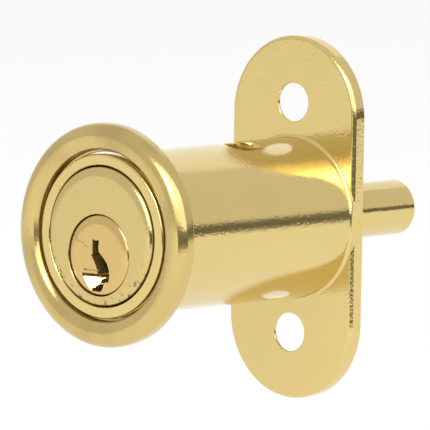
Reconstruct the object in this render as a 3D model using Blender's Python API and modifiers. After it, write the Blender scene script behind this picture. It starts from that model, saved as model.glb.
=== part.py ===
"""Push-in cylinder lock: plate housing, sprung key barrel with bolt, and loose trim ring.

The origin is on the housing tube's axis, in the plane of the fixing plate's front face.
-Y is the key side, +Y is the bolt side and +Z is up. The barrel is shown pushed in.
"""

from math import atan2, ceil, cos, pi, radians, sin, sqrt

import bmesh
import bpy
from mathutils import Matrix, Vector

MM = 0.001

# Housing: a tube cast in one with an obround fixing plate.
TUBE_RADIUS = 11.0 * MM
TUBE_WALL = 1.5 * MM
TUBE_LENGTH = 38.3 * MM
TUBE_RIM_ROUND = 0.25 * MM
PLATE_SIDE_MARGIN = 0.1 * MM
PLATE_END_MARGIN = 9.15 * MM
PLATE_THICKNESS = 2.2 * MM
PLATE_EDGE_ROUND = 0.6 * MM
PLATE_FILLET = 0.8 * MM
FLOOR_THICKNESS = 1.9 * MM
SCREW_HOLE_RADIUS = 2.66 * MM
SCREW_HOLE_OFFSET = 4.85 * MM
SCREW_HOLE_LAND = 0.3 * MM

# Trim ring: slides on the tube and hides the edge of the hole in the panel.
TRIM_REACH = 4.0 * MM
TRIM_DEPTH = 2.9 * MM
TRIM_MOUTH_CLEARANCE = 0.3 * MM
TRIM_COLLAR_CLEARANCE = 0.2 * MM
TRIM_COLLAR_DEPTH = 1.0 * MM
TRIM_RISE = 0.1 * MM
TRIM_PROUD = 0.7 * MM
TRIM_DOME_DEPTH = 0.95 * MM
TRIM_BACK_ROUND = 0.4 * MM
TRIM_RECESS_DEPTH = 1.2 * MM
TRIM_RECESS_WALL = 1.0 * MM

# Barrel: the sprung key cylinder.
BARREL_CLEARANCE = 0.1 * MM
BARREL_EDGE_ROUND = 0.45 * MM
BARREL_PROUD = 0.5 * MM
BARREL_TRAVEL = 10.0 * MM
LATCH_Y = -12.6 * MM
LATCH_TILT = radians(11)
LATCH_WALL = 1.1 * MM

# Plug: the part that the key turns.
PLUG_RADIUS = 5.45 * MM
PLUG_DROP = 2.5 * MM
PLUG_PROUD = 0.1 * MM
PLUG_EDGE_ROUND = 0.35 * MM
PLUG_LIP = 0.5 * MM
KEY_TURN = radians(75)

# Pin stacks.
PIN_COUNT = 5
PIN_SETBACK = 4.3 * MM
PIN_PITCH = 3.45 * MM
PIN_RADIUS = 1.1 * MM
PIN_CHAMFER = 0.25 * MM
PIN_TIP_HEIGHT = 0.5 * MM
PIN_TIP_RADIUS = 0.4 * MM
PIN_BORE_FLOOR = -1.0 * MM
KEY_PIN_LENGTHS = (4.2 * MM, 5.0 * MM, 4.6 * MM, 5.4 * MM, 4.0 * MM)
DRIVER_LENGTH = 2.4 * MM
PIN_SPRING_WIRE = 0.12 * MM
PIN_SPRING_TURNS = 3
COVER_THICKNESS = 1.0 * MM
COVER_WIDTH = 3.2 * MM
COVER_OVERHANG = 0.8 * MM

# Plug's retaining pin, in a groove round the plug.
KEEPER_RADIUS = 0.6 * MM
KEEPER_BITE = 0.6 * MM
KEEPER_LENGTH = 6.5 * MM

# Latch: a block that springs out through the window in the tube's upper side.
LATCH_LENGTH = 4.6 * MM
LATCH_TIP_WIDTH = 3.3 * MM
LATCH_STROKE = 1.35 * MM
LATCH_SHOULDER = 6.0 * MM
LATCH_FOOT = -4.4 * MM
LATCH_SIDE_WALL = 1.1 * MM
WINDOW_SIDE_CLEARANCE = 0.2 * MM
WINDOW_END_CLEARANCE = 0.35 * MM
DRIVE_PIN_RADIUS = 0.8 * MM
DRIVE_PIN_THROW = 2.5 * MM
DRIVE_PIN_SEAT = 2.0 * MM
LATCH_SPRING_RADIUS = 1.0 * MM
LATCH_SPRING_WIRE = 0.2 * MM
LATCH_SPRING_LENGTH = 3.4 * MM
LATCH_SPRING_TURNS = 4

# Bolt and its two fixing screws.
BOLT_RADIUS = 3.85 * MM
BOLT_END = 22.0 * MM
BOLT_END_CHAMFER = 0.35 * MM
BOLT_HOLE_CLEARANCE = 0.1 * MM
FLANGE_CLEARANCE = 0.75 * MM
FLANGE_THICKNESS = 2.4 * MM
FLANGE_SCREW_OFFSET = 6.9 * MM
FLANGE_SCREW_RADIUS = 0.9 * MM
FLANGE_SCREW_DEPTH = 3.0 * MM
FLANGE_SCREW_HEAD_RADIUS = 1.5 * MM
FLANGE_SCREW_HEAD_HEIGHT = 0.7 * MM
SCREW_SLOT_WIDTH = 0.4 * MM
SCREW_SLOT_DEPTH = 0.35 * MM

# Return spring, round the bolt.
RETURN_SPRING_RADIUS = 6.0 * MM
RETURN_SPRING_WIRE = 0.45 * MM
RETURN_SPRING_TURNS = 5

# Guide pin through the tube wall, in a groove along the barrel.
GUIDE_PIN_RADIUS = 1.0 * MM
GUIDE_PIN_SETBACK = 10.3 * MM
GUIDE_GROOVE_DEPTH = 1.5 * MM
GUIDE_PIN_SINK = 0.08 * MM

# Fits.
FIT_GAP = 0.05 * MM
SEAT_GAP = 0.1 * MM
CUT_MARGIN = 1.0 * MM

# Facets round a full turn.
TUBE_FACETS = 64
BARREL_FACETS = 56
PLUG_FACETS = 48
BOLT_FACETS = 40
HOLE_FACETS = 24
PIN_FACETS = 16
SMALL_COIL_POINTS = 8
LARGE_COIL_POINTS = 14
ROUND_STEPS = 3

# Derived places along the lock, from the tube's mouth to the back of the plate.
bore_radius = TUBE_RADIUS - TUBE_WALL
barrel_radius = bore_radius - BARREL_CLEARANCE
plate_width = 2 * (TUBE_RADIUS + PLATE_SIDE_MARGIN)
screw_hole_z = TUBE_RADIUS + SCREW_HOLE_OFFSET
plate_height = 2 * (screw_hole_z + PLATE_END_MARGIN)
mouth_y = -TUBE_LENGTH
floor_y = PLATE_THICKNESS - FLOOR_THICKNESS
pocket_front = LATCH_Y - LATCH_LENGTH / 2 - SEAT_GAP
barrel_rear = LATCH_Y + LATCH_LENGTH / 2 + SEAT_GAP
barrel_face = mouth_y - BARREL_PROUD
plug_face = barrel_face - PLUG_PROUD
plug_bore_end = pocket_front - LATCH_WALL
plug_rear = plug_bore_end - SEAT_GAP
plug_bore_radius = PLUG_RADIUS + FIT_GAP
plug_axis_z = -PLUG_DROP
flange_radius = bore_radius - FLANGE_CLEARANCE
flange_front = barrel_rear + FIT_GAP
flange_rear = flange_front + FLANGE_THICKNESS
pin_bore_radius = PIN_RADIUS + FIT_GAP
pin_places = [mouth_y + PIN_SETBACK + PIN_PITCH * i for i in range(PIN_COUNT)]
pin_top = sqrt(PLUG_RADIUS ** 2 - PIN_RADIUS ** 2) - FIT_GAP
driver_foot = plug_axis_z + plug_bore_radius
cover_top = sqrt(barrel_radius ** 2 - (COVER_WIDTH / 2) ** 2) - FIT_GAP
cover_foot = cover_top - COVER_THICKNESS
cover_front = pin_places[0] - PIN_RADIUS - COVER_OVERHANG
cover_rear = pin_places[-1] + PIN_RADIUS + COVER_OVERHANG
keeper_y = plug_rear - PLUG_LIP - KEEPER_RADIUS - FIT_GAP
keeper_x = PLUG_RADIUS - KEEPER_BITE + KEEPER_RADIUS
guide_pin_y = mouth_y + GUIDE_PIN_SETBACK
trim_mouth_radius = TUBE_RADIUS + TRIM_MOUTH_CLEARANCE
trim_collar_radius = TUBE_RADIUS + TRIM_COLLAR_CLEARANCE
trim_radius = TUBE_RADIUS + TRIM_REACH
trim_front = mouth_y - TRIM_PROUD

# Drive pin's places in the latch's own frame: sideways (v) and outwards (u) from the tube's axis.
plug_v = PLUG_DROP * sin(LATCH_TILT)
plug_u = -PLUG_DROP * cos(LATCH_TILT)
pin_reach = DRIVE_PIN_RADIUS + SEAT_GAP
yoke_low = (plug_v - pin_reach, plug_u + DRIVE_PIN_THROW * cos(KEY_TURN) - pin_reach)
yoke_high = (plug_v + DRIVE_PIN_THROW * sin(KEY_TURN) + pin_reach, plug_u + DRIVE_PIN_THROW + pin_reach)
latch_left = -LATCH_TIP_WIDTH / 2
latch_right = yoke_high[0] + LATCH_SIDE_WALL
latch_tip = sqrt((bore_radius - FIT_GAP) ** 2 - (LATCH_TIP_WIDTH / 2) ** 2) - FIT_GAP
latch_spring_v = (latch_left + latch_right) / 2
spring_bore_floor = LATCH_FOOT - LATCH_SPRING_LENGTH

# Turns that lay a piece's own Z along the lock, across it, or out through the window.
ALONG_LOCK = (-pi / 2, 0, 0)
FACING_KEY = (pi / 2, 0, 0)
ACROSS_LOCK = (0, pi / 2, 0)
OUT_OF_WINDOW = (0, LATCH_TILT, 0)
UPRIGHT = (0, 0, 0)
HALF_FACET_ROUND = (0, 0, pi / PIN_FACETS)


def clear_scene():
    """Remove whatever the scene holds."""
    for obj in list(bpy.data.objects):
        bpy.data.objects.remove(obj, do_unlink=True)


def new_collection(name):
    """Add a collection to the scene."""
    collection = bpy.data.collections.new(name)
    bpy.context.scene.collection.children.link(collection)
    return collection


clear_scene()
PARTS = new_collection("push_cylinder_lock")
CUTTERS = new_collection("cutters")


def metal(name, colour, roughness, metallic=1.0):
    """Make a plain metal finish."""
    finish = bpy.data.materials.new(name)
    finish.use_nodes = True
    shader = finish.node_tree.nodes["Principled BSDF"]
    shader.inputs["Base Color"].default_value = (*colour, 1.0)
    shader.inputs["Roughness"].default_value = roughness
    shader.inputs["Metallic"].default_value = metallic
    return finish


POLISHED_BRASS = metal("polished_brass", (0.80, 0.60, 0.24), 0.14)
SATIN_BRASS = metal("satin_brass", (0.76, 0.58, 0.26), 0.28)
TURNED_BRASS = metal("turned_brass", (0.72, 0.55, 0.25), 0.35)
NICKEL_SILVER = metal("nickel_silver", (0.66, 0.62, 0.54), 0.32)
SPRING_STEEL = metal("spring_steel", (0.45, 0.46, 0.48), 0.3)
PIN_STEEL = metal("pin_steel", (0.55, 0.56, 0.58), 0.25)


def place(mesh, name, location, rotation, finish=None):
    """Put a mesh in the scene as a part, or as a cutter when it has no finish."""
    obj = bpy.data.objects.new(name, mesh)
    obj.location = location
    obj.rotation_euler = rotation
    if finish is None:
        CUTTERS.objects.link(obj)
        obj.hide_render = True
        obj.display_type = "WIRE"
    else:
        PARTS.objects.link(obj)
        mesh.materials.append(finish)
    return obj


def turned(name, profile, facets, location=(0, 0, 0), rotation=ALONG_LOCK, finish=None, ring=False):
    """Turn a profile of (radius, height) points, given from the top down its outer side."""
    mesh = bpy.data.meshes.new(name)
    shape = bmesh.new()
    corners = [shape.verts.new((radius, 0, height)) for radius, height in profile]
    for upper, lower in zip(corners, corners[1:]):
        shape.edges.new((upper, lower))
    if ring:
        shape.edges.new((corners[-1], corners[0]))
    shape.to_mesh(mesh)
    shape.free()
    obj = place(mesh, name, location, rotation, finish)
    screw = obj.modifiers.new("turn", "SCREW")
    screw.axis = "Z"
    screw.steps = facets
    screw.render_steps = facets
    screw.use_merge_vertices = True
    screw.merge_threshold = 0.002 * MM
    screw.use_smooth_shade = True
    return obj


def arc(centre, radius, start, end, steps=ROUND_STEPS):
    """List points on an arc between two angles, in degrees."""
    turns = [radians(start + (end - start) * i / steps) for i in range(steps + 1)]
    return [(centre[0] + radius * cos(turn), centre[1] + radius * sin(turn)) for turn in turns]


def cylinder(name, radius, low, high, facets, location=(0, 0, 0), rotation=UPRIGHT, finish=None):
    """Make a cylinder between two heights on its own Z."""
    mesh = bpy.data.meshes.new(name)
    shape = bmesh.new()
    bmesh.ops.create_cone(
        shape, cap_ends=True, segments=facets, radius1=radius, radius2=radius, depth=high - low
    )
    bmesh.ops.translate(shape, verts=shape.verts, vec=(0, 0, (low + high) / 2))
    shape.to_mesh(mesh)
    shape.free()
    return place(mesh, name, location, rotation, finish)


def block(name, low, high, location=(0, 0, 0), rotation=UPRIGHT, finish=None, bevel=0.0):
    """Make a box between two corners in its own frame."""
    mesh = bpy.data.meshes.new(name)
    shape = bmesh.new()
    bmesh.ops.create_cube(shape, size=1.0)
    low = Vector(low)
    high = Vector(high)
    bmesh.ops.scale(shape, verts=shape.verts, vec=high - low)
    bmesh.ops.translate(shape, verts=shape.verts, vec=(low + high) / 2)
    if bevel:
        bmesh.ops.bevel(shape, geom=shape.edges[:], offset=bevel, segments=1, affect="EDGES")
    shape.to_mesh(mesh)
    shape.free()
    return place(mesh, name, location, rotation, finish)


def obround(width, length, steps=10):
    """List the outline of a slot that is round at both ends and long in its second direction."""
    radius = width / 2
    reach = length / 2 - radius
    return arc((0, reach), radius, 0, 180, steps) + arc((0, -reach), radius, 180, 360, steps)


def extruded(name, outline, low, high, location=(0, 0, 0), rotation=UPRIGHT, finish=None):
    """Extrude a closed outline between two heights on its own Z."""
    curve = bpy.data.curves.new(name, "CURVE")
    curve.dimensions = "2D"
    curve.fill_mode = "BOTH"
    curve.extrude = (high - low) / 2
    spline = curve.splines.new("POLY")
    spline.points.add(len(outline) - 1)
    for point, (across, up) in zip(spline.points, outline):
        point.co = (across, up, 0, 1)
    spline.use_cyclic_u = True
    flat = bpy.data.objects.new(name, curve)
    CUTTERS.objects.link(flat)
    mesh = mesh_from(flat)
    mesh.transform(Matrix.Translation((0, 0, (low + high) / 2)))
    return place(mesh, name, location, rotation, finish)


def mesh_from(source):
    """Take a curve object's closed mesh and remove the curve."""
    bpy.context.view_layer.update()
    graph = bpy.context.evaluated_depsgraph_get()
    mesh = bpy.data.meshes.new_from_object(source.evaluated_get(graph))
    shape = bmesh.new()
    shape.from_mesh(mesh)
    bmesh.ops.remove_doubles(shape, verts=shape.verts, dist=0.001 * MM)
    bmesh.ops.recalc_face_normals(shape, faces=shape.faces)
    shape.to_mesh(mesh)
    shape.free()
    mesh.materials.clear()
    bpy.data.objects.remove(source, do_unlink=True)
    return mesh


def coil(name, radius, wire, turns, low, high, turn_points, location, rotation, finish):
    """Wind a spring with closed end turns between two heights on its own Z."""
    curve = bpy.data.curves.new(name, "CURVE")
    curve.dimensions = "3D"
    curve.bevel_depth = wire
    curve.bevel_resolution = 2
    curve.use_fill_caps = True
    count = ceil(turns * turn_points)
    end_turn = 0.75 / turns
    end_rise = 2.1 * wire * 0.75
    middle_rise = high - low - 2 * wire - 2 * end_rise
    spline = curve.splines.new("POLY")
    spline.points.add(count)
    for i, point in enumerate(spline.points):
        share = i / count
        rise = end_rise * min(share / end_turn, 1.0)
        rise += middle_rise * min(max((share - end_turn) / (1 - 2 * end_turn), 0.0), 1.0)
        rise += end_rise * max((share - 1 + end_turn) / end_turn, 0.0)
        angle = 2 * pi * turns * share
        point.co = (radius * cos(angle), radius * sin(angle), low + wire + rise, 1)
    obj = bpy.data.objects.new(name, curve)
    CUTTERS.objects.link(obj)
    return place(mesh_from(obj), name, location, rotation, finish)


def combine(obj, tool, operation="DIFFERENCE"):
    """Cut a part with a cutter, or join the cutter to it."""
    boolean = obj.modifiers.new(tool.name, "BOOLEAN")
    boolean.operation = operation
    boolean.solver = "EXACT"
    boolean.object = tool


def soften(obj):
    """Shade round stretches smooth and keep the edges sharp."""
    obj.data.shade_smooth()
    obj.data.set_sharp_from_angle(angle=radians(30))


def pivot(name, location, parent=None):
    """Mark a joint with an empty on its axis."""
    empty = bpy.data.objects.new(name, None)
    empty.empty_display_size = 5 * MM
    PARTS.objects.link(empty)
    empty.location = location
    if parent:
        empty.parent = parent
        empty.location = Vector(location) - world_place(parent)
    return empty


def world_place(obj):
    """Give an unturned empty's place in the scene."""
    place_sum = Vector(obj.location)
    while obj.parent:
        obj = obj.parent
        place_sum += obj.location
    return place_sum


def attach(piece, parent):
    """Hang a piece on a joint's empty without moving it."""
    piece.location = Vector(piece.location) - world_place(parent)
    piece.parent = parent


def make_housing():
    """Cast tube and plate, with its bore, bolt hole, window, guide pin hole and screw holes.

    The screw holes are countersunk at 90 degrees from the rear, where the screws go in.
    """
    joint_y = PLATE_THICKNESS / 2
    flare = TUBE_RADIUS + PLATE_FILLET
    rim = TUBE_RIM_ROUND
    profile = [(0, joint_y), (flare, joint_y)]
    profile += arc((flare, -PLATE_FILLET), PLATE_FILLET, 90, 180)
    profile += arc((TUBE_RADIUS - rim, mouth_y + rim), rim, 0, -90)
    profile += [(0, mouth_y)]
    housing = turned("housing", profile, TUBE_FACETS, finish=POLISHED_BRASS)
    for side in (-1, 1):
        inner = plate_width / 2 * side
        outer = (plate_width / 2 + 2 * PLATE_FILLET) * side
        trim = block(
            f"side_trim_{side}",
            (min(inner, outer), -2 * PLATE_FILLET, -TUBE_RADIUS),
            (max(inner, outer), PLATE_THICKNESS, TUBE_RADIUS),
        )
        combine(housing, trim)
    combine(housing, make_plate(), "UNION")
    bore = cylinder(
        "bore", bore_radius, mouth_y - CUT_MARGIN, floor_y, TUBE_FACETS, rotation=ALONG_LOCK
    )
    combine(housing, bore)
    bolt_hole = cylinder(
        "bolt_hole",
        BOLT_RADIUS + BOLT_HOLE_CLEARANCE,
        floor_y - CUT_MARGIN,
        PLATE_THICKNESS + CUT_MARGIN,
        BOLT_FACETS,
        rotation=ALONG_LOCK,
    )
    combine(housing, bolt_hole)
    sink_reach = PLATE_THICKNESS - SCREW_HOLE_LAND + CUT_MARGIN
    screw_hole_profile = [
        (0, PLATE_THICKNESS + CUT_MARGIN),
        (SCREW_HOLE_RADIUS + sink_reach, PLATE_THICKNESS + CUT_MARGIN),
        (SCREW_HOLE_RADIUS, SCREW_HOLE_LAND),
        (SCREW_HOLE_RADIUS, -CUT_MARGIN),
        (0, -CUT_MARGIN),
    ]
    for side in (-1, 1):
        screw_hole = turned(
            f"screw_hole_{side}", screw_hole_profile, HOLE_FACETS, (0, 0, side * screw_hole_z)
        )
        combine(housing, screw_hole)
    window = extruded(
        "window",
        obround(LATCH_TIP_WIDTH + 2 * WINDOW_SIDE_CLEARANCE, LATCH_LENGTH + 2 * WINDOW_END_CLEARANCE),
        bore_radius - CUT_MARGIN,
        TUBE_RADIUS + CUT_MARGIN,
        location=(0, LATCH_Y, 0),
        rotation=OUT_OF_WINDOW,
    )
    combine(housing, window)
    guide_hole = cylinder(
        "guide_hole",
        GUIDE_PIN_RADIUS + FIT_GAP,
        -TUBE_RADIUS - CUT_MARGIN,
        -bore_radius + CUT_MARGIN,
        PIN_FACETS,
        location=(0, guide_pin_y, 0),
        rotation=ACROSS_LOCK,
    )
    combine(housing, guide_hole)
    soften(housing)


def make_plate():
    """Obround plate with its front edge rounded, ready to join to the tube."""
    plate = extruded(
        "plate",
        obround(plate_width, plate_height, steps=24),
        -PLATE_THICKNESS,
        0,
        rotation=FACING_KEY,
    )
    shape = bmesh.new()
    shape.from_mesh(plate.data)
    front = [edge for edge in shape.edges if all(abs(v.co.z) < FIT_GAP for v in edge.verts)]
    rim = [edge for edge in front if any(abs(face.normal.z) < 0.5 for face in edge.link_faces)]
    bmesh.ops.bevel(
        shape, geom=rim, offset=PLATE_EDGE_ROUND, segments=ROUND_STEPS, profile=0.5, affect="EDGES"
    )
    shape.to_mesh(plate.data)
    shape.free()
    return plate


def make_trim_ring():
    """Domed ring, hollowed behind, with a collar that slides on the tube."""
    back = trim_front + TRIM_DEPTH
    middle = (trim_radius + trim_mouth_radius) / 2
    half_width = (trim_radius - trim_mouth_radius) / 2
    crown = trim_front + TRIM_DOME_DEPTH
    outer_back = trim_radius - TRIM_BACK_ROUND
    recess_inner = trim_mouth_radius + TRIM_RECESS_WALL
    recess_outer = trim_radius - TRIM_RECESS_WALL
    dome = [
        (middle + half_width * cos(radians(angle)), crown + TRIM_DOME_DEPTH * sin(radians(angle)))
        for angle in range(0, -181, -15)
    ]
    profile = [(recess_inner, back), (recess_inner, back - TRIM_RECESS_DEPTH)]
    profile += [(recess_outer, back - TRIM_RECESS_DEPTH), (recess_outer, back)]
    profile += arc((outer_back, back - TRIM_BACK_ROUND), TRIM_BACK_ROUND, 90, 0)
    profile += dome
    profile += [(trim_mouth_radius, back - TRIM_COLLAR_DEPTH)]
    profile += [(trim_collar_radius, back - TRIM_COLLAR_DEPTH), (trim_collar_radius, back)]
    ring = turned("trim_ring", profile, TUBE_FACETS, (0, 0, TRIM_RISE), finish=POLISHED_BRASS, ring=True)
    attach(ring, pivot("trim_ring_slide_axis", (0, 0, TRIM_RISE)))


def make_guide_pin():
    """Pin through the tube wall that keeps the barrel from turning and stops it at both ends."""
    outer = -TUBE_RADIUS + GUIDE_PIN_SINK
    inner = -barrel_radius + GUIDE_GROOVE_DEPTH - SEAT_GAP
    profile = pin_profile(GUIDE_PIN_RADIUS, outer, inner, PIN_CHAMFER / 2, PIN_CHAMFER)
    turned("guide_pin", profile, PIN_FACETS, (0, guide_pin_y, 0), ACROSS_LOCK, PIN_STEEL)


def pin_profile(radius, low, high, low_chamfer, high_chamfer):
    """Profile of a straight pin with a chamfer at each end."""
    return [
        (0, high),
        (radius - high_chamfer, high),
        (radius, high - high_chamfer),
        (radius, low + low_chamfer),
        (radius - low_chamfer, low),
        (0, low),
    ]


def make_barrel(body):
    """Key cylinder with its plug bore, pin chambers, cover slot, guide groove and latch pocket."""
    edge = BARREL_EDGE_ROUND
    profile = [(0, barrel_rear), (barrel_radius, barrel_rear)]
    profile += arc((barrel_radius - edge, barrel_face + edge), edge, 0, -90)
    profile += [(0, barrel_face)]
    barrel = turned("barrel", profile, BARREL_FACETS, finish=SATIN_BRASS)
    groove_length = BARREL_TRAVEL + 2 * (GUIDE_PIN_RADIUS + SEAT_GAP)
    groove = extruded(
        "guide_groove",
        obround(2 * (GUIDE_PIN_RADIUS + SEAT_GAP), groove_length),
        -barrel_radius - CUT_MARGIN,
        -barrel_radius + GUIDE_GROOVE_DEPTH,
        location=(0, guide_pin_y + BARREL_TRAVEL / 2, 0),
        rotation=ACROSS_LOCK,
    )
    combine(barrel, groove)
    keeper_hole = cylinder(
        "keeper_hole",
        KEEPER_RADIUS + FIT_GAP,
        -barrel_radius,
        plug_axis_z + KEEPER_LENGTH / 2 + FIT_GAP,
        PIN_FACETS,
        location=(keeper_x, keeper_y, 0),
    )
    combine(barrel, keeper_hole)
    plug_bore = cylinder(
        "plug_bore",
        plug_bore_radius,
        barrel_face - CUT_MARGIN,
        plug_bore_end,
        PLUG_FACETS,
        location=(0, 0, plug_axis_z),
        rotation=ALONG_LOCK,
    )
    combine(barrel, plug_bore)
    tail_bore = cylinder(
        "tail_bore",
        DRIVE_PIN_THROW + DRIVE_PIN_RADIUS + SEAT_GAP,
        plug_bore_end - CUT_MARGIN,
        pocket_front + CUT_MARGIN,
        HOLE_FACETS,
        location=(0, 0, plug_axis_z),
        rotation=ALONG_LOCK,
    )
    combine(barrel, tail_bore)
    cover_slot = block(
        "cover_slot",
        (-COVER_WIDTH / 2 - FIT_GAP, cover_front - FIT_GAP, cover_foot - FIT_GAP),
        (COVER_WIDTH / 2 + FIT_GAP, cover_rear + FIT_GAP, barrel_radius + CUT_MARGIN),
    )
    combine(barrel, cover_slot)
    for number, y in enumerate(pin_places, 1):
        chamber = cylinder(
            f"chamber_{number}",
            pin_bore_radius,
            0,
            cover_top,
            PIN_FACETS,
            location=(0, y, 0),
            rotation=HALF_FACET_ROUND,
        )
        combine(barrel, chamber)
    cut_latch_pocket(barrel)
    for number, side in enumerate((-1, 1), 1):
        screw_bore = cylinder(
            f"bolt_screw_bore_{number}",
            FLANGE_SCREW_RADIUS + FIT_GAP,
            barrel_rear - FLANGE_SCREW_DEPTH - SEAT_GAP,
            barrel_rear + CUT_MARGIN,
            PIN_FACETS,
            location=flange_screw_place(side),
            rotation=ALONG_LOCK,
        )
        combine(barrel, screw_bore)
    soften(barrel)
    attach(barrel, body)


def cut_latch_pocket(barrel):
    """Pocket for the latch, open at the barrel's rear, with a slot for its tip and a spring bore."""
    half = LATCH_LENGTH / 2 + SEAT_GAP
    reach = LATCH_LENGTH / 2 + SEAT_GAP + CUT_MARGIN
    room = block(
        "latch_room",
        (latch_left - SEAT_GAP, -half, LATCH_FOOT - SEAT_GAP),
        (latch_right + SEAT_GAP, reach, LATCH_SHOULDER + LATCH_STROKE + SEAT_GAP),
        (0, LATCH_Y, 0),
        OUT_OF_WINDOW,
    )
    combine(barrel, room)
    tip_slot = block(
        "latch_tip_slot",
        (latch_left - 1.5 * SEAT_GAP, -half - SEAT_GAP / 2, LATCH_SHOULDER),
        (-latch_left + 1.5 * SEAT_GAP, reach + SEAT_GAP, barrel_radius + CUT_MARGIN),
        (0, LATCH_Y, 0),
        OUT_OF_WINDOW,
    )
    combine(barrel, tip_slot)
    spring_bore = cylinder(
        "latch_spring_bore",
        LATCH_SPRING_RADIUS + LATCH_SPRING_WIRE + SEAT_GAP,
        spring_bore_floor,
        LATCH_FOOT + CUT_MARGIN,
        PIN_FACETS,
        location=in_window_frame(latch_spring_v, 0),
        rotation=OUT_OF_WINDOW,
    )
    combine(barrel, spring_bore)


def in_window_frame(sideways, outwards):
    """Give the place at the latch that is so far sideways and outwards from the tube's axis."""
    return (
        sideways * cos(LATCH_TILT) + outwards * sin(LATCH_TILT),
        LATCH_Y,
        outwards * cos(LATCH_TILT) - sideways * sin(LATCH_TILT),
    )


def flange_screw_place(side):
    """Give a flange screw's axis, beside the latch pocket."""
    x, _, z = in_window_frame(side * FLANGE_SCREW_OFFSET, 0)
    return (x, 0, z)


def make_chamber_cover(body):
    """Strip that closes the pin chambers."""
    cover = block(
        "chamber_cover",
        (-COVER_WIDTH / 2, cover_front, cover_foot),
        (COVER_WIDTH / 2, cover_rear, cover_top),
        finish=SATIN_BRASS,
        bevel=PIN_CHAMFER / 2,
    )
    attach(cover, body)


def keyway_outline():
    """Outline of the keyway: straight above, with a nick on its left, and bellied to the right below."""
    slot = [(-1.0, 0.1), (-1.4, 0.05), (-0.9, -0.65), (-0.35, -1.35), (-0.2, -2.0), (-0.35, -2.5)]
    foot = [(-0.7, -3.95), (-1.3, -4.8), (0.55, -4.85), (1.05, -4.3), (1.5, -3.55), (1.9, -3.6)]
    belly = [(2.05, -2.7), (2.05, -2.15), (1.7, -1.1), (1.05, -0.3), (0.1, 0.75), (0.25, 2.1)]
    top = [(-0.4, 2.0), (-1.0, 2.15)]
    return [(x * MM, z * MM) for x, z in slot + foot + belly + top]


def make_plug(body):
    """Plug with its keyway, pin bores, keeper groove and drive pin hole."""
    edge = PLUG_EDGE_ROUND
    groove_radius = PLUG_RADIUS - KEEPER_BITE - SEAT_GAP
    groove_half = KEEPER_RADIUS + FIT_GAP
    profile = [(0, plug_rear), (PLUG_RADIUS, plug_rear), (PLUG_RADIUS, keeper_y + groove_half)]
    profile += [(groove_radius, keeper_y + groove_half), (groove_radius, keeper_y - groove_half)]
    profile += [(PLUG_RADIUS, keeper_y - groove_half)]
    profile += arc((PLUG_RADIUS - edge, plug_face + edge), edge, 0, -90)
    profile += [(0, plug_face)]
    axis = (0, 0, plug_axis_z)
    plug = turned("plug", profile, PLUG_FACETS, axis, finish=POLISHED_BRASS)
    keyway = extruded(
        "keyway",
        keyway_outline(),
        -(pin_places[-1] + PIN_RADIUS),
        -(plug_face - CUT_MARGIN),
        axis,
        FACING_KEY,
    )
    combine(plug, keyway)
    for number, y in enumerate(pin_places, 1):
        pin_bore = cylinder(
            f"pin_bore_{number}",
            pin_bore_radius,
            PIN_BORE_FLOOR,
            PLUG_RADIUS + CUT_MARGIN,
            PIN_FACETS,
            location=(0, y, plug_axis_z),
            rotation=HALF_FACET_ROUND,
        )
        combine(plug, pin_bore)
    drive_hole = cylinder(
        "drive_pin_hole",
        DRIVE_PIN_RADIUS + FIT_GAP,
        plug_rear - DRIVE_PIN_SEAT - SEAT_GAP,
        plug_rear + CUT_MARGIN,
        PIN_FACETS,
        location=drive_pin_place(),
        rotation=ALONG_LOCK,
    )
    combine(plug, drive_hole)
    soften(plug)
    attach(plug, body)


def drive_pin_place():
    """Give the drive pin's axis with the key upright."""
    x, _, z = in_window_frame(plug_v, plug_u + DRIVE_PIN_THROW)
    return (x, 0, z)


def make_drive_pin(body):
    """Off-centre pin on the plug's rear face that draws the latch in."""
    profile = pin_profile(
        DRIVE_PIN_RADIUS, plug_rear - DRIVE_PIN_SEAT, barrel_rear - SEAT_GAP, PIN_CHAMFER, PIN_CHAMFER
    )
    pin = turned("drive_pin", profile, PIN_FACETS, drive_pin_place(), ALONG_LOCK, PIN_STEEL)
    attach(pin, body)


def make_plug_retaining_pin(body):
    """Pin up through the barrel, beside the plug, in the plug's groove."""
    high = plug_axis_z + KEEPER_LENGTH / 2
    profile = pin_profile(KEEPER_RADIUS, high - KEEPER_LENGTH, high, PIN_CHAMFER / 2, PIN_CHAMFER / 2)
    pin = turned(
        "plug_retaining_pin", profile, PIN_FACETS, (keeper_x, keeper_y, 0), UPRIGHT, PIN_STEEL
    )
    attach(pin, body)


def key_pin_drop(length):
    """Give how far a key pin falls from the shear line to the floor of its bore."""
    return pin_top - length - PIN_BORE_FLOOR - FIT_GAP


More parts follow.
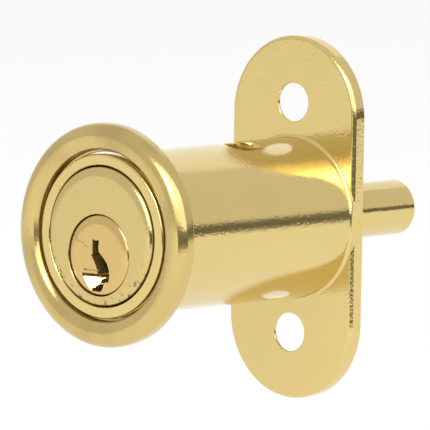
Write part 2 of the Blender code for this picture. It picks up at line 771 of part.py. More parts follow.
def make_pin_stack(number, y, length, plug_body, body):
    """Key pin, driver pin and spring of one chamber, at the shear line."""
    tip_top = pin_top - length + PIN_TIP_HEIGHT
    key_profile = [(0, pin_top), (PIN_RADIUS - PIN_CHAMFER / 2, pin_top)]
    key_profile += [(PIN_RADIUS, pin_top - PIN_CHAMFER / 2), (PIN_RADIUS, tip_top)]
    key_profile += [(PIN_TIP_RADIUS, pin_top - length), (0, pin_top - length)]
    key_pin_axis = pivot(f"key_pin_drop_{number}_axis", (0, y, plug_axis_z), plug_body)
    key_pin = turned(
        f"key_pin_{number}", key_profile, PIN_FACETS, (0, y, plug_axis_z), UPRIGHT, TURNED_BRASS
    )
    attach(key_pin, key_pin_axis)
    driver_top = driver_foot + DRIVER_LENGTH
    driver_profile = pin_profile(PIN_RADIUS, driver_foot, driver_top, PIN_CHAMFER, PIN_CHAMFER)
    driver_axis = pivot(f"driver_pin_lift_{number}_axis", (0, y, 0), body)
    driver = turned(
        f"driver_pin_{number}", driver_profile, PIN_FACETS, (0, y, 0), UPRIGHT, NICKEL_SILVER
    )
    attach(driver, driver_axis)
    spring = coil(
        f"pin_spring_{number}",
        PIN_RADIUS - 2 * PIN_SPRING_WIRE,
        PIN_SPRING_WIRE,
        PIN_SPRING_TURNS,
        driver_top + FIT_GAP,
        cover_foot - FIT_GAP,
        SMALL_COIL_POINTS,
        (0, y, 0),
        UPRIGHT,
        SPRING_STEEL,
    )
    attach(spring, body)


def make_latch(body):
    """Latch block with its rounded tip and the window that the drive pin works in."""
    half = LATCH_LENGTH / 2
    latch = block(
        "latch",
        (latch_left, -half, LATCH_FOOT),
        (latch_right, half, LATCH_SHOULDER),
        (0, LATCH_Y, 0),
        OUT_OF_WINDOW,
        NICKEL_SILVER,
        PIN_CHAMFER,
    )
    tip = extruded(
        "latch_tip",
        obround(LATCH_TIP_WIDTH, LATCH_LENGTH),
        LATCH_SHOULDER - CUT_MARGIN,
        latch_tip,
        (0, LATCH_Y, 0),
        OUT_OF_WINDOW,
    )
    combine(latch, tip, "UNION")
    yoke = block(
        "latch_yoke",
        (yoke_low[0], -half - CUT_MARGIN, yoke_low[1]),
        (yoke_high[0], half + CUT_MARGIN, yoke_high[1]),
        (0, LATCH_Y, 0),
        OUT_OF_WINDOW,
    )
    combine(latch, yoke)
    soften(latch)
    attach(latch, pivot("latch_slide_axis", (0, LATCH_Y, 0), body))


def make_latch_spring(body):
    """Spring that pushes the latch out."""
    spring = coil(
        "latch_spring",
        LATCH_SPRING_RADIUS,
        LATCH_SPRING_WIRE,
        LATCH_SPRING_TURNS,
        spring_bore_floor + FIT_GAP,
        LATCH_FOOT - FIT_GAP,
        SMALL_COIL_POINTS,
        in_window_frame(latch_spring_v, 0),
        OUT_OF_WINDOW,
        SPRING_STEEL,
    )
    attach(spring, body)


def make_bolt(body):
    """Bolt with the flange that closes the barrel's rear."""
    end = BOLT_END_CHAMFER
    profile = [(0, BOLT_END), (BOLT_RADIUS - end, BOLT_END), (BOLT_RADIUS, BOLT_END - end)]
    profile += [(BOLT_RADIUS, flange_rear), (flange_radius, flange_rear)]
    profile += [(flange_radius, flange_front), (0, flange_front)]
    bolt = turned("bolt", profile, BOLT_FACETS, finish=POLISHED_BRASS)
    head = FLANGE_SCREW_HEAD_RADIUS + FIT_GAP
    shank = FLANGE_SCREW_RADIUS + FIT_GAP
    sink = FLANGE_SCREW_HEAD_HEIGHT + FIT_GAP
    for number, side in enumerate((-1, 1), 1):
        hole_profile = [(0, flange_rear + CUT_MARGIN), (head, flange_rear + CUT_MARGIN)]
        hole_profile += [(head, flange_rear - SEAT_GAP), (shank, flange_rear - SEAT_GAP - sink)]
        hole_profile += [(shank, flange_front - CUT_MARGIN), (0, flange_front - CUT_MARGIN)]
        hole = turned(f"flange_hole_{number}", hole_profile, PIN_FACETS, flange_screw_place(side))
        combine(bolt, hole)
    soften(bolt)
    attach(bolt, body)


def make_bolt_screw(number, side, body):
    """Countersunk screw that holds the flange to the barrel."""
    top = flange_rear - SEAT_GAP
    head_foot = top - FLANGE_SCREW_HEAD_HEIGHT
    profile = [(0, top), (FLANGE_SCREW_HEAD_RADIUS, top), (FLANGE_SCREW_RADIUS, head_foot)]
    profile += [(FLANGE_SCREW_RADIUS, barrel_rear - FLANGE_SCREW_DEPTH)]
    profile += [(0, barrel_rear - FLANGE_SCREW_DEPTH)]
    spot = flange_screw_place(side)
    screw = turned(f"bolt_screw_{number}", profile, PIN_FACETS, spot, ALONG_LOCK, PIN_STEEL)
    slot = block(
        f"screw_slot_{number}",
        (-SCREW_SLOT_WIDTH / 2, top - SCREW_SLOT_DEPTH, -2 * FLANGE_SCREW_HEAD_RADIUS),
        (SCREW_SLOT_WIDTH / 2, top + CUT_MARGIN, 2 * FLANGE_SCREW_HEAD_RADIUS),
        spot,
    )
    combine(screw, slot)
    soften(screw)
    attach(screw, body)


def make_return_spring():
    """Spring round the bolt that pushes the barrel out when the latch lets go."""
    coil(
        "return_spring",
        RETURN_SPRING_RADIUS,
        RETURN_SPRING_WIRE,
        RETURN_SPRING_TURNS,
        flange_rear + FIT_GAP,
        floor_y - FIT_GAP,
        LARGE_COIL_POINTS,
        (0, 0, 0),
        ALONG_LOCK,
        SPRING_STEEL,
    )


def main():
    """Build every piece and hang the moving ones on their joints."""
    body = pivot("barrel_slide_axis", (0, 0, 0))
    plug_body = pivot("key_turn_axis", (0, mouth_y, plug_axis_z), body)
    make_housing()
    make_trim_ring()
    make_guide_pin()
    make_return_spring()
    make_barrel(body)
    make_chamber_cover(body)
    make_plug_retaining_pin(body)
    make_bolt(body)
    for number, side in enumerate((-1, 1), 1):
        make_bolt_screw(number, side, body)
    make_latch_spring(body)
    make_latch(body)
    make_plug(plug_body)
    make_drive_pin(plug_body)
    for number, (y, length) in enumerate(zip(pin_places, KEY_PIN_LENGTHS), 1):
        make_pin_stack(number, y, length, plug_body, body)


main()
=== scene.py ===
"""Looks of a push-in cylinder lock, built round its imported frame.

The origin is on the tube's axis in the plane of the fixing plate's front face. -Y is the key
side, +Y is the bolt side and +Z is up. Sizes are in metres.
"""

from math import cos, pi, radians, sin, sqrt, tan

import bmesh
import bpy
from mathutils import Matrix, Vector


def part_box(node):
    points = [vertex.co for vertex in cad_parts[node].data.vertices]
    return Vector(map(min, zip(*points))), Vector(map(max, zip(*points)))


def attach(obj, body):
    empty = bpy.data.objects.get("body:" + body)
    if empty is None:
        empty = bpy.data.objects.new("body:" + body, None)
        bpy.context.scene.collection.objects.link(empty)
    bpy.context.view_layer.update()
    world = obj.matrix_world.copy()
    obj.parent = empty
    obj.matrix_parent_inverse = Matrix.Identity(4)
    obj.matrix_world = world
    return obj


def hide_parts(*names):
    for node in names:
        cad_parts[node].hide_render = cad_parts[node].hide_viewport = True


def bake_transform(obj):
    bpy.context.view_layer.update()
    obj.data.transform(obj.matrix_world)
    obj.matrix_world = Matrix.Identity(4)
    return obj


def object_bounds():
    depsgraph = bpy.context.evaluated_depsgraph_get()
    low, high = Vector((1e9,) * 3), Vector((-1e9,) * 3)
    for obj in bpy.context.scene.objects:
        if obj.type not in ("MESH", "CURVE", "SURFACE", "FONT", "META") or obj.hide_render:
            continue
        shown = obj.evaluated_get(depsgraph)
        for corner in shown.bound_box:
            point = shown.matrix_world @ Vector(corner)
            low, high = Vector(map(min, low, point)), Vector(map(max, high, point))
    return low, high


bl_info = {
    "name": "Push Cylinder Lock",
    "version": (1, 0, 0),
    "blender": (4, 5, 0),
    "location": "3D View > Sidebar > Lock",
    "description": "Builds the looks of a push-in cylinder lock round its packed frame",
    "category": "Add Mesh",
}

MM = 0.001

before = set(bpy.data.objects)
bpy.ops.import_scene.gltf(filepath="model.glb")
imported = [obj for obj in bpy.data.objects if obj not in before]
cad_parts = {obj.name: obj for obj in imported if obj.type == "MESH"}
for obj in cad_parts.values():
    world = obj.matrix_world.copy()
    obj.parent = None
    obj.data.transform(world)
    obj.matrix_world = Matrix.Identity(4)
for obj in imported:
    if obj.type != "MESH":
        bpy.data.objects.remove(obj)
CAD_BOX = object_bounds()

MERGE = 0.0001 * MM
OVERCUT = 1.0 * MM
SHARP = radians(40)
SMOOTH = radians(32)
FINE_STEPS = 256
SMALL_STEPS = 96
PIN_STEPS = 48
WIRE_SIDES = 14
SPRING_STEPS = 36
RETURN_SPRING_STEPS = 72
PIN_NUMBERS = range(1, 6)
SCREW_NUMBERS = (1, 2)


def extent(node):
    """Give a node's lowest corner, highest corner and centre."""
    low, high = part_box(node)
    return low, high, (low + high) / 2


def half_width(node):
    """Give half a node's width along X."""
    low, high, _ = extent(node)
    return (high.x - low.x) / 2


HOUSING_LOW, HOUSING_HIGH, _ = extent("housing")
RING_LOW, RING_HIGH, RING_CENTRE = extent("trim_ring")
BARREL_LOW, BARREL_HIGH, _ = extent("barrel")
PLUG_LOW, PLUG_HIGH, PLUG_CENTRE = extent("plug")
BOLT_LOW, BOLT_HIGH, _ = extent("bolt")
LATCH_LOW, LATCH_HIGH, LATCH_CENTRE = extent("latch")
PLUG_RADIUS = half_width("plug")
KEEPER_RADIUS = half_width("plug_retaining_pin")


def length_property(name, description, default):
    """Declare a size that a user may change."""
    return bpy.props.FloatProperty(
        name=name, description=description, default=default, min=0.0, unit="LENGTH", subtype="DISTANCE",
        precision=5,
    )


def colour_property(name, description, default):
    """Declare a colour that a user may change."""
    return bpy.props.FloatVectorProperty(
        name=name, description=description, default=default, size=3, min=0.0, max=1.0, subtype="COLOR"
    )


def share_property(name, description, default):
    """Declare a share between nothing and all."""
    return bpy.props.FloatProperty(
        name=name, description=description, default=default, min=0.0, max=1.0, subtype="FACTOR"
    )


def brightness_property(name, description, default):
    """Declare a brightness that a user may change."""
    return bpy.props.FloatProperty(name=name, description=description, default=default, min=0.0)


class LockSizes(bpy.types.PropertyGroup):
    """Sizes of the lock's visible pieces"""

    tube_radius: length_property("Tube Radius", "Outer radius of the tube", HOUSING_HIGH.x - 0.1 * MM)
    tube_wall: length_property("Tube Wall", "Thickness of the tube's wall", 1.5 * MM)
    rim_round: length_property("Rim Round", "Rounding of the tube's mouth", 0.3 * MM)
    plate_edge_round: length_property("Plate Edge", "Rounding of the plate's front edge", 0.6 * MM)
    plate_fillet: length_property("Plate Fillet", "Fillet between the tube and the plate", 0.5 * MM)
    floor_thickness: length_property("Floor", "Metal left between the bore and the bolt side", 1.9 * MM)
    screw_hole_radius: length_property("Screw Hole", "Radius of the screw holes", 2.66 * MM)
    screw_hole_offset: length_property("Hole Offset", "Tube's side to a screw hole's axis", 4.85 * MM)
    screw_hole_land: length_property("Hole Land", "Straight depth before the countersink", 0.3 * MM)
    ring_mouth: length_property("Ring Mouth", "Gap between the ring's mouth and the tube", 0.48 * MM)
    ring_collar: length_property("Ring Collar", "Gap between the ring's collar and the tube", 0.12 * MM)
    barrel_edge: length_property("Barrel Edge", "Width of the barrel's rounded front edge", 1.35 * MM)
    plug_edge: length_property("Plug Edge", "Width of the plug's rounded front edge", 1.4 * MM)
    bolt_radius: length_property("Bolt Radius", "Radius of the bolt", 3.85 * MM)
    flange_thickness: length_property("Flange", "Thickness of the bolt's flange", 2.4 * MM)


class LockFinishes(bpy.types.PropertyGroup):
    """Colours and polish of the lock's metals"""

    brass: colour_property("Brass", "Polished brass plate", (0.68, 0.52, 0.196))
    ring_brass: colour_property("Ring Brass", "Buffed brass of the trim ring", (0.6, 0.445, 0.16))
    barrel_brass: colour_property("Barrel Brass", "Satin brass of the barrel", (0.615, 0.465, 0.18))
    plug_brass: colour_property("Plug Brass", "Redder brass of the plug", (0.64, 0.44, 0.155))
    pin_brass: colour_property("Pin Brass", "Turned brass of the key pins", (0.74, 0.56, 0.25))
    nickel: colour_property("Nickel Silver", "Latch and driver pins", (0.68, 0.64, 0.56))
    steel: colour_property("Steel", "Pins and screws", (0.56, 0.57, 0.58))
    wire: colour_property("Spring Wire", "Drawn spring wire", (0.42, 0.43, 0.45))
    polish: share_property("Polish", "Roughness of the polished brass", 0.035)


class LockStage(bpy.types.PropertyGroup):
    """Floor, lights and surroundings"""

    floor_tone: share_property("Floor Tone", "How pale the floor is", 0.87)
    sky: brightness_property("Surroundings", "Brightness all round", 0.8)
    front_light: brightness_property("Front Light", "Brightness of the front softbox", 1.6)
    key_light: brightness_property("Key Light", "Brightness of the lamp in the front softbox", 12.0)
    rear_light: brightness_property("Rear Light", "Brightness of the rear softbox", 0.3)
    floor_drop: length_property("Floor Drop", "Gap between the lock and the floor", 75 * MM)
    card_tone: share_property("Card Tone", "How pale the dark reflection cards are", 0.03)


# Shapes.


def turn(profile, steps=FINE_STEPS, centre=(0, 0, 0), closed=False):
    """Turn a profile of (radius, y) points round a line along the lock, and cap its ends."""
    shape = bmesh.new()
    corners = [shape.verts.new((radius, along, 0)) for radius, along in profile]
    strokes = [shape.edges.new(pair) for pair in zip(corners, corners[1:])]
    if closed:
        strokes.append(shape.edges.new((corners[-1], corners[0])))
    bmesh.ops.spin(
        shape, geom=corners + strokes, cent=(0, 0, 0), axis=(0, 1, 0), angle=2 * pi, steps=steps,
        use_merge=True,
    )
    bmesh.ops.remove_doubles(shape, verts=shape.verts, dist=MERGE)
    rims = [edge for edge in shape.edges if edge.is_boundary]
    if rims:
        bmesh.ops.edgeloop_fill(shape, edges=rims)
    bmesh.ops.recalc_face_normals(shape, faces=shape.faces)
    bmesh.ops.translate(shape, verts=shape.verts, vec=centre)
    return shape


def arc(centre, width, depth, start, end, steps=6):
    """List points on part of an ellipse between two angles, in degrees."""
    turns = [radians(start + (end - start) * i / steps) for i in range(steps + 1)]
    return [(centre[0] + width * cos(a), centre[1] + depth * sin(a)) for a in turns]


def box_shape(low, high):
    """Make a box between two corners."""
    shape = bmesh.new()
    bmesh.ops.create_cube(shape, size=1.0)
    low = Vector(low)
    high = Vector(high)
    bmesh.ops.scale(shape, verts=shape.verts, vec=high - low)
    bmesh.ops.translate(shape, verts=shape.verts, vec=(low + high) / 2)
    return shape


def rod(radius, low, high, steps=PIN_STEPS):
    """Make a straight rod between two heights."""
    shape = bmesh.new()
    bmesh.ops.create_cone(
        shape, cap_ends=True, segments=steps, radius1=radius, radius2=radius, depth=high - low
    )
    bmesh.ops.translate(shape, verts=shape.verts, vec=(0, 0, (low + high) / 2))
    return shape


def obround(width, length, low, high, steps=SMALL_STEPS):
    """Make an upright bar that is round at both ends and long in Y."""
    shape = bmesh.new()
    bmesh.ops.create_circle(shape, cap_ends=True, radius=width / 2, segments=steps)
    bmesh.ops.rotate(shape, verts=shape.verts, matrix=Matrix.Rotation(pi / steps, 3, "Z"))
    reach = (length - width) / 2
    for side in (-1, 1):
        half = [vert for vert in shape.verts if vert.co.y * side > 0]
        bmesh.ops.translate(shape, verts=half, vec=(0, reach * side, 0))
    bmesh.ops.translate(shape, verts=shape.verts, vec=(0, 0, low))
    return raised(shape, high - low)


def outlined(outline, low, high):
    """Make an upright bar with a given outline."""
    shape = bmesh.new()
    corners = [shape.verts.new((across, up, low)) for across, up in outline]
    shape.faces.new(corners)
    return raised(shape, high - low)


def raised(shape, height):
    """Extrude a flat face upwards into a closed bar."""
    made = bmesh.ops.extrude_face_region(shape, geom=shape.faces[:], use_keep_orig=True)
    top = [item for item in made["geom"] if isinstance(item, bmesh.types.BMVert)]
    bmesh.ops.translate(shape, verts=top, vec=(0, 0, height))
    bmesh.ops.recalc_face_normals(shape, faces=shape.faces)
    return shape


def moved(shape, matrix):
    """Turn and shift a shape."""
    bmesh.ops.transform(shape, matrix=matrix, verts=shape.verts)
    return shape


def round_edges(shape, width, steps=3, chosen=None, angle=SHARP):
    """Round a shape's sharp edges, or only the chosen ones."""
    edges = [edge for edge in shape.edges if edge.calc_face_angle(0) > angle]
    if chosen:
        edges = [edge for edge in edges if all(chosen(vert.co) for vert in edge.verts)]
    bmesh.ops.bevel(
        shape, geom=edges, offset=width, offset_type="OFFSET", segments=steps, profile=0.5,
        affect="EDGES", clamp_overlap=True, material=-1,
    )
    return shape


def loose_object(shape, name):
    """Put a shape in the scene and use it up."""
    mesh = bpy.data.meshes.new(name)
    shape.to_mesh(mesh)
    shape.free()
    obj = bpy.data.objects.new(name, mesh)
    bpy.context.scene.collection.objects.link(obj)
    return obj


def carve(shape, tools, operation="DIFFERENCE"):
    """Cut tools out of a shape, or join them to it, and give the result as a new shape."""
    blank = loose_object(shape, "blank")
    cutters = [loose_object(tool, "cutter") for tool in tools]
    for cutter in cutters:
        boolean = blank.modifiers.new("carve", "BOOLEAN")
        boolean.operation = operation
        boolean.solver = "EXACT"
        boolean.object = cutter
    graph = bpy.context.evaluated_depsgraph_get()
    mesh = bpy.data.meshes.new_from_object(blank.evaluated_get(graph))
    result = bmesh.new()
    result.from_mesh(mesh)
    bpy.data.meshes.remove(mesh)
    for obj in [blank, *cutters]:
        used = obj.data
        bpy.data.objects.remove(obj, do_unlink=True)
        bpy.data.meshes.remove(used)
    bmesh.ops.remove_doubles(result, verts=result.verts, dist=MERGE)
    return result


def show(shape, name, finish, nodes, body=None, bend=None):
    """Make a shape a finished piece in place of its nodes, which it hides; it moves with a body, or with
    a bend it stays unattached where it stands.
    """
    piece = loose_object(shape, name)
    piece.data.materials.append(finish)
    piece.data.shade_smooth()
    piece.data.set_sharp_from_angle(angle=SMOOTH)
    weighted = piece.modifiers.new("weighted_normals", "WEIGHTED_NORMAL")
    weighted.keep_sharp = True
    if bend:
        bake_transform(piece)
    else:
        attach(piece, body)
    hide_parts(*nodes)


def coil(radius, wire, turns, low, high, steps=SPRING_STEPS):
    """Wind a spring of round wire, with closed end turns, between two heights on Z."""
    shape = bmesh.new()
    bmesh.ops.create_circle(shape, cap_ends=False, radius=wire, segments=WIRE_SIDES)
    bmesh.ops.rotate(shape, verts=shape.verts, matrix=Matrix.Rotation(pi / 2, 3, "X"))
    bmesh.ops.translate(shape, verts=shape.verts, vec=(radius, 0, low + wire))
    end_turn = 0.75
    end_rise = 2.1 * wire * end_turn
    middle_rise = high - low - 2 * wire - 2 * end_rise
    last = shape.verts[:] + shape.edges[:]
    for share, rise in ((end_turn, end_rise), (turns - 2 * end_turn, middle_rise), (end_turn, end_rise)):
        count = round(share * steps)
        made = bmesh.ops.spin(
            shape, geom=last, cent=(0, 0, 0), axis=(0, 0, 1), dvec=(0, 0, rise / count),
            angle=2 * pi * share, steps=count, use_merge=False,
        )
        last = made["geom_last"]
    bmesh.ops.remove_doubles(shape, verts=shape.verts, dist=MERGE)
    bmesh.ops.edgeloop_fill(shape, edges=[edge for edge in shape.edges if edge.is_boundary])
    bmesh.ops.recalc_face_normals(shape, faces=shape.faces)
    return shape


# Finishes.


class Value:
    """A number that varies over a surface; arithmetic on it adds Math nodes."""

    def __init__(self, paint, socket):
        self.paint = paint
        self.socket = socket

    def __add__(self, other):
        return self.paint.maths("ADD", self, other)

    def __sub__(self, other):
        return self.paint.maths("SUBTRACT", self, other)

    def __rsub__(self, other):
        return self.paint.maths("SUBTRACT", other, self)

    def __mul__(self, other):
        return self.paint.maths("MULTIPLY", self, other)

    def __gt__(self, other):
        return self.paint.maths("GREATER_THAN", self, other)

    def __lt__(self, other):
        return self.paint.maths("LESS_THAN", self, other)

    __radd__ = __add__
    __rmul__ = __mul__


class Paint:
    """A material's nodes, made through one method."""

    def __init__(self, name):
        self.material = bpy.data.materials.new(name)
        self.material.use_nodes = True
        self.tree = self.material.node_tree
        self.shader = self.tree.nodes["Principled BSDF"]
        coordinates = self.tree.nodes.new("ShaderNodeTexCoord")
        self.place = Value(self, coordinates.outputs["Object"])

    def add(self, kind, settings=None, output=0, **sockets):
        """Add a node, set it up, feed its sockets and give one of its outputs."""
        node = self.tree.nodes.new(kind)
        for key, setting in (settings or {}).items():
            if key == "stops":
                self.set_stops(node.color_ramp, setting)
            else:
                setattr(node, key, setting)
        for key, feed in sockets.items():
            self.feed(self.input_of(node, key), feed)
        return Value(self, node.outputs[output])

    @staticmethod
    def input_of(node, key):
        """Find an input by its number, written _0, or by its name in lower case."""
        if key[1:].isdigit():
            return node.inputs[int(key[1:])]
        wanted = key.replace("_", " ")
        return next(entry for entry in node.inputs if entry.name.lower() == wanted and entry.enabled)

    def feed(self, socket, source):
        """Link a value to a socket, or set the socket's own number or colour."""
        if isinstance(source, Value):
            self.tree.links.new(source.socket, socket)
        elif hasattr(socket.default_value, "__len__") and len(socket.default_value) == 4:
            socket.default_value = (*source, 1.0)
        else:
            socket.default_value = source

    @staticmethod
    def set_stops(ramp, stops):
        """Give a colour ramp its stops."""
        while len(ramp.elements) < len(stops):
            ramp.elements.new(1.0)
        for element, (position, tone) in zip(ramp.elements, stops):
            element.position = position
            element.color = (tone, tone, tone, 1.0)

    def maths(self, operation, first, second):
        """Work out one operation on two numbers."""
        return self.add("ShaderNodeMath", {"operation": operation}, _0=first, _1=second)

    def noise(self, size, detail=2.0, roughness=0.5, place=None):
        """Make noise with patches of about a given size."""
        return self.add(
            "ShaderNodeTexNoise", output="Fac", vector=place or self.place, scale=1.0 / size,
            detail=detail, roughness=roughness,
        )

    def stretched(self, scale):
        """Give the place on the piece, stretched by a scale along each direction."""
        return self.add("ShaderNodeMapping", {"vector_type": "POINT"}, vector=self.place, scale=scale)

    def steps_between(self, value, low, high):
        """Turn a value into a share that rises from nothing at low to all at high."""
        return self.add(
            "ShaderNodeMapRange", {"interpolation_type": "SMOOTHSTEP"}, output="Result", value=value,
            from_min=low, from_max=high, to_min=0.0, to_max=1.0,
        )

    def blend(self, share, first, second):
        """Mix two colours."""
        return self.add(
            "ShaderNodeMix", {"data_type": "RGBA"}, output=2, _0=share, _6=first, _7=second
        )

    def bump(self, height, depth, normal=None):
        """Raise the surface by a height field of a given depth."""
        sockets = {"height": height, "distance": depth, "strength": 1.0}
        if normal:
            sockets["normal"] = normal
        return self.add("ShaderNodeBump", output="Normal", **sockets)

    def radius_from(self, across, up):
        """Give the distance from a line along the lock, in metres."""
        x, _, z = self.parts()
        return self.maths("POWER", (x - across) * (x - across) + (z - up) * (z - up), 0.5)

    def parts(self):
        """Give the place's X, Y and Z."""
        split = self.tree.nodes.new("ShaderNodeSeparateXYZ")
        self.tree.links.new(self.place.socket, split.inputs[0])
        return [Value(self, socket) for socket in split.outputs]

    def finish(self, **sockets):
        """Feed the shader, and give the material."""
        for key, source in sockets.items():
            self.feed(self.input_of(self.shader, key), source)
        return self.material


def darker(colour, share):
    """Give a colour times a share."""
    return tuple(channel * share for channel in colour)


def warmer(colour, share):
    """Give a colour with its green and blue lowered a little."""
    return (colour[0], colour[1] * (1 - share / 2), colour[2] * (1 - share))


def ready(name):
    """Give a material that was already made, or nothing."""
    return bpy.data.materials.get(name)


def plated_brass(name, colour, polish, peel, marks=None):
    """Bright plate over buffed brass: fine orange peel, faint clouding and buffing lines."""
    if ready(name):
        return ready(name)
    paint = Paint(name)
    clouds = paint.noise(6 * MM, detail=3.0)
    specks = paint.noise(0.9 * MM, detail=2.0, roughness=0.6)
    fine = paint.noise(0.42 * MM, detail=2.5, roughness=0.65)
    waves = paint.noise(5 * MM, detail=1.0)
    lines = paint.noise(0.12 * MM, detail=2.0, place=paint.stretched((1.0, 0.03, 1.0)))
    tone = paint.blend(clouds, darker(colour, 0.97), warmer(colour, -0.04))
    pits = paint.steps_between(specks, 0.71, 0.78)
    tone = paint.blend(pits * 0.5, tone, darker(warmer(colour, 0.2), 0.55))
    rough = polish + (clouds - 0.5) * (0.6 * polish) + pits * 0.15
    eased = paint.add("ShaderNodeBevel", {"samples": 4}, output="Normal", radius=0.07 * MM)
    normal = paint.bump(waves, 0.02 * MM, eased)
    normal = paint.bump(fine, peel, normal)
    normal = paint.bump(lines, 0.0006 * MM, normal)
    if marks:
        tone, rough = marks(paint, tone, rough)
    return paint.finish(
        base_color=tone, roughness=rough, metallic=0.88, normal=normal, coat_weight=0.3,
        coat_roughness=0.06,
    )


def turned_metal(name, colour, roughness, depth=0.004 * MM, along=(1.0, 25.0, 1.0)):
    """Bare turned metal with fine tool lines and a little staining."""
    if ready(name):
        return ready(name)
    paint = Paint(name)
    lines = paint.noise(1.6 * MM, detail=3.0, roughness=0.7, place=paint.stretched(along))
    stain = paint.noise(1.5 * MM, detail=4.0, roughness=0.6)
    tone = paint.blend(stain, darker(colour, 0.8), colour)
    rough = roughness + (lines - 0.5) * 0.3 + (stain - 0.5) * 0.12
    return paint.finish(
        base_color=tone, roughness=rough, metallic=1.0, normal=paint.bump(lines, depth)
    )


def polished_brass():
    """Finish of the housing and the bolt."""
    finishes = bpy.context.scene.lock_finishes
    return plated_brass("plated_brass", tuple(finishes.brass), finishes.polish, 0.024 * MM)


def ring_brass():
    """Finish of the trim ring, buffed duller and smoky from handling."""
    finishes = bpy.context.scene.lock_finishes

    def smoke(paint, tone, rough):
        haze = paint.steps_between(paint.noise(8 * MM, detail=4.0), 0.4, 0.66)
        return paint.blend(haze * 0.4, tone, darker(tuple(finishes.ring_brass), 0.5)), rough + haze * 0.1

    return plated_brass(
        "buffed_brass", tuple(finishes.ring_brass), finishes.polish + 0.1, 0.014 * MM, smoke
    )


def barrel_brass():
    """Finish of the barrel, with a few plating flaws low on the edge of its face."""
    finishes = bpy.context.scene.lock_finishes

    def flaws(paint, tone, rough):
        _, y, z = paint.parts()
        reach = paint.radius_from(0.0, 0.0)
        face = y < BARREL_LOW.y + 1.2 * MM
        rim = paint.steps_between(reach, 7.9 * MM, 8.8 * MM)
        low = paint.steps_between(0 - z, 1 * MM, 5 * MM)
        flecks = paint.steps_between(paint.noise(0.9 * MM, detail=3.0, roughness=0.7), 0.53, 0.6)
        share = rim * low * flecks * face
        brown = darker(warmer(tuple(finishes.barrel_brass), 0.4), 0.35)
        return paint.blend(share * 0.9, tone, brown), rough + share * 0.2

    return plated_brass(
        "barrel_brass", tuple(finishes.barrel_brass), finishes.polish + 0.06, 0.02 * MM, flaws
    )


def plug_brass():
    """Finish of the plug, with one faint scratch on its face."""
    finishes = bpy.context.scene.lock_finishes

    def scratch(paint, tone, rough):
        x, _, z = paint.parts()
        start = Vector((-4.6 * MM, PLUG_CENTRE.z + 2.3 * MM))
        stop = Vector((-1.9 * MM, PLUG_CENTRE.z + 1.0 * MM))
        way = (stop - start).normalized()
        along = (x - start.x) * way.x + (z - start.y) * way.y
        wander = (paint.noise(0.8 * MM) - 0.5) * (0.9 * MM)
        aside = (x - start.x) * way.y - (z - start.y) * way.x + wander
        near = 1 - paint.steps_between(paint.maths("ABSOLUTE", aside, 0.0), 0.03 * MM, 0.1 * MM)
        within = (along > 0.0) * (along < (stop - start).length)
        share = near * within
        brown = darker(warmer(tuple(finishes.barrel_brass), 0.4), 0.5)
        return paint.blend(share * 0.6, tone, brown), rough + share * 0.15

    return plated_brass(
        "plug_brass", tuple(finishes.plug_brass), finishes.polish + 0.05, 0.02 * MM, scratch
    )


def pin_brass():
    """Finish of the key pins."""
    return turned_metal("turned_brass_bare", tuple(bpy.context.scene.lock_finishes.pin_brass), 0.3)


def nickel():
    """Finish of the latch and the driver pins."""
    return turned_metal("nickel_silver_bare", tuple(bpy.context.scene.lock_finishes.nickel), 0.3)


def ground_steel():
    """Finish of the pins and screws."""
    return turned_metal("ground_steel", tuple(bpy.context.scene.lock_finishes.steel), 0.25)


def spring_wire():
    """Finish of the springs."""
    return turned_metal(
        "drawn_wire", tuple(bpy.context.scene.lock_finishes.wire), 0.28, depth=0.002 * MM,
        along=(3.0, 3.0, 3.0),
    )


# Places and turns shared by the pieces.

TILT = Matrix.Rotation(radians(11), 4, "Y")
FROM_SIDE = Matrix.Rotation(-pi / 2, 4, "Y")
ALONG = Matrix.Rotation(-pi / 2, 4, "X")
UPWARDS = Matrix.Rotation(pi / 2, 4, "X")
HALF_STEP = Matrix.Rotation(pi / PIN_STEPS, 4, "Z")
GAP = 0.05 * MM
SEAT = 0.1 * MM
LATCH_FOOT = -4.4 * MM
LATCH_SHOULDER = 6.0 * MM
LATCH_TIP_WIDTH = 3.3 * MM
LATCH_LEFT = -LATCH_TIP_WIDTH / 2
LATCH_STROKE = 1.35 * MM
LATCH_LENGTH = LATCH_HIGH.y - LATCH_LOW.y
LATCH_SPRING_LENGTH = 3.4 * MM
LATCH_SPRING_REACH = 1.2 * MM
DRIVE_THROW = 2.5 * MM
DRIVE_RADIUS = 0.8 * MM
KEY_TURN = radians(75)
BARREL_STROKE = 10 * MM
BARREL_EDGE_FALL = 0.42
PLUG_EDGE_FALL = 0.32
SCREW_BORE = 0.95 * MM


def over(spot):
    """Give the shift to a spot as seen from above, with no change in height."""
    return Matrix.Translation((spot.x, spot.y, 0))


def window_frame(sideways=0.0):
    """Give the frame of the latch: its Z points out through the window."""
    return Matrix.Translation((0, LATCH_CENTRE.y, 0)) @ TILT @ Matrix.Translation((sideways, 0, 0))


def yoke_corners():
    """Give the latch window's corners, sideways and outwards, round the drive pin's swing."""
    axis = TILT.inverted() @ Vector((0, 0, PLUG_CENTRE.z))
    reach = DRIVE_RADIUS + SEAT
    low = (axis.x - reach, axis.z + DRIVE_THROW * cos(KEY_TURN) - reach)
    high = (axis.x + DRIVE_THROW * sin(KEY_TURN) + reach, axis.z + DRIVE_THROW + reach)
    return low, high


def latch_right():
    """Give the latch's far side, one wall past its window."""
    return yoke_corners()[1][0] + 1.1 * MM


def latch_spring_side():
    """Give how far sideways the latch's spring sits."""
    return (LATCH_LEFT + latch_right()) / 2


def screw_place(number):
    """Give a flange screw's axis."""
    _, _, centre = extent(f"bolt_screw_{number}")
    return (centre.x, 0, centre.z)


# Operators.


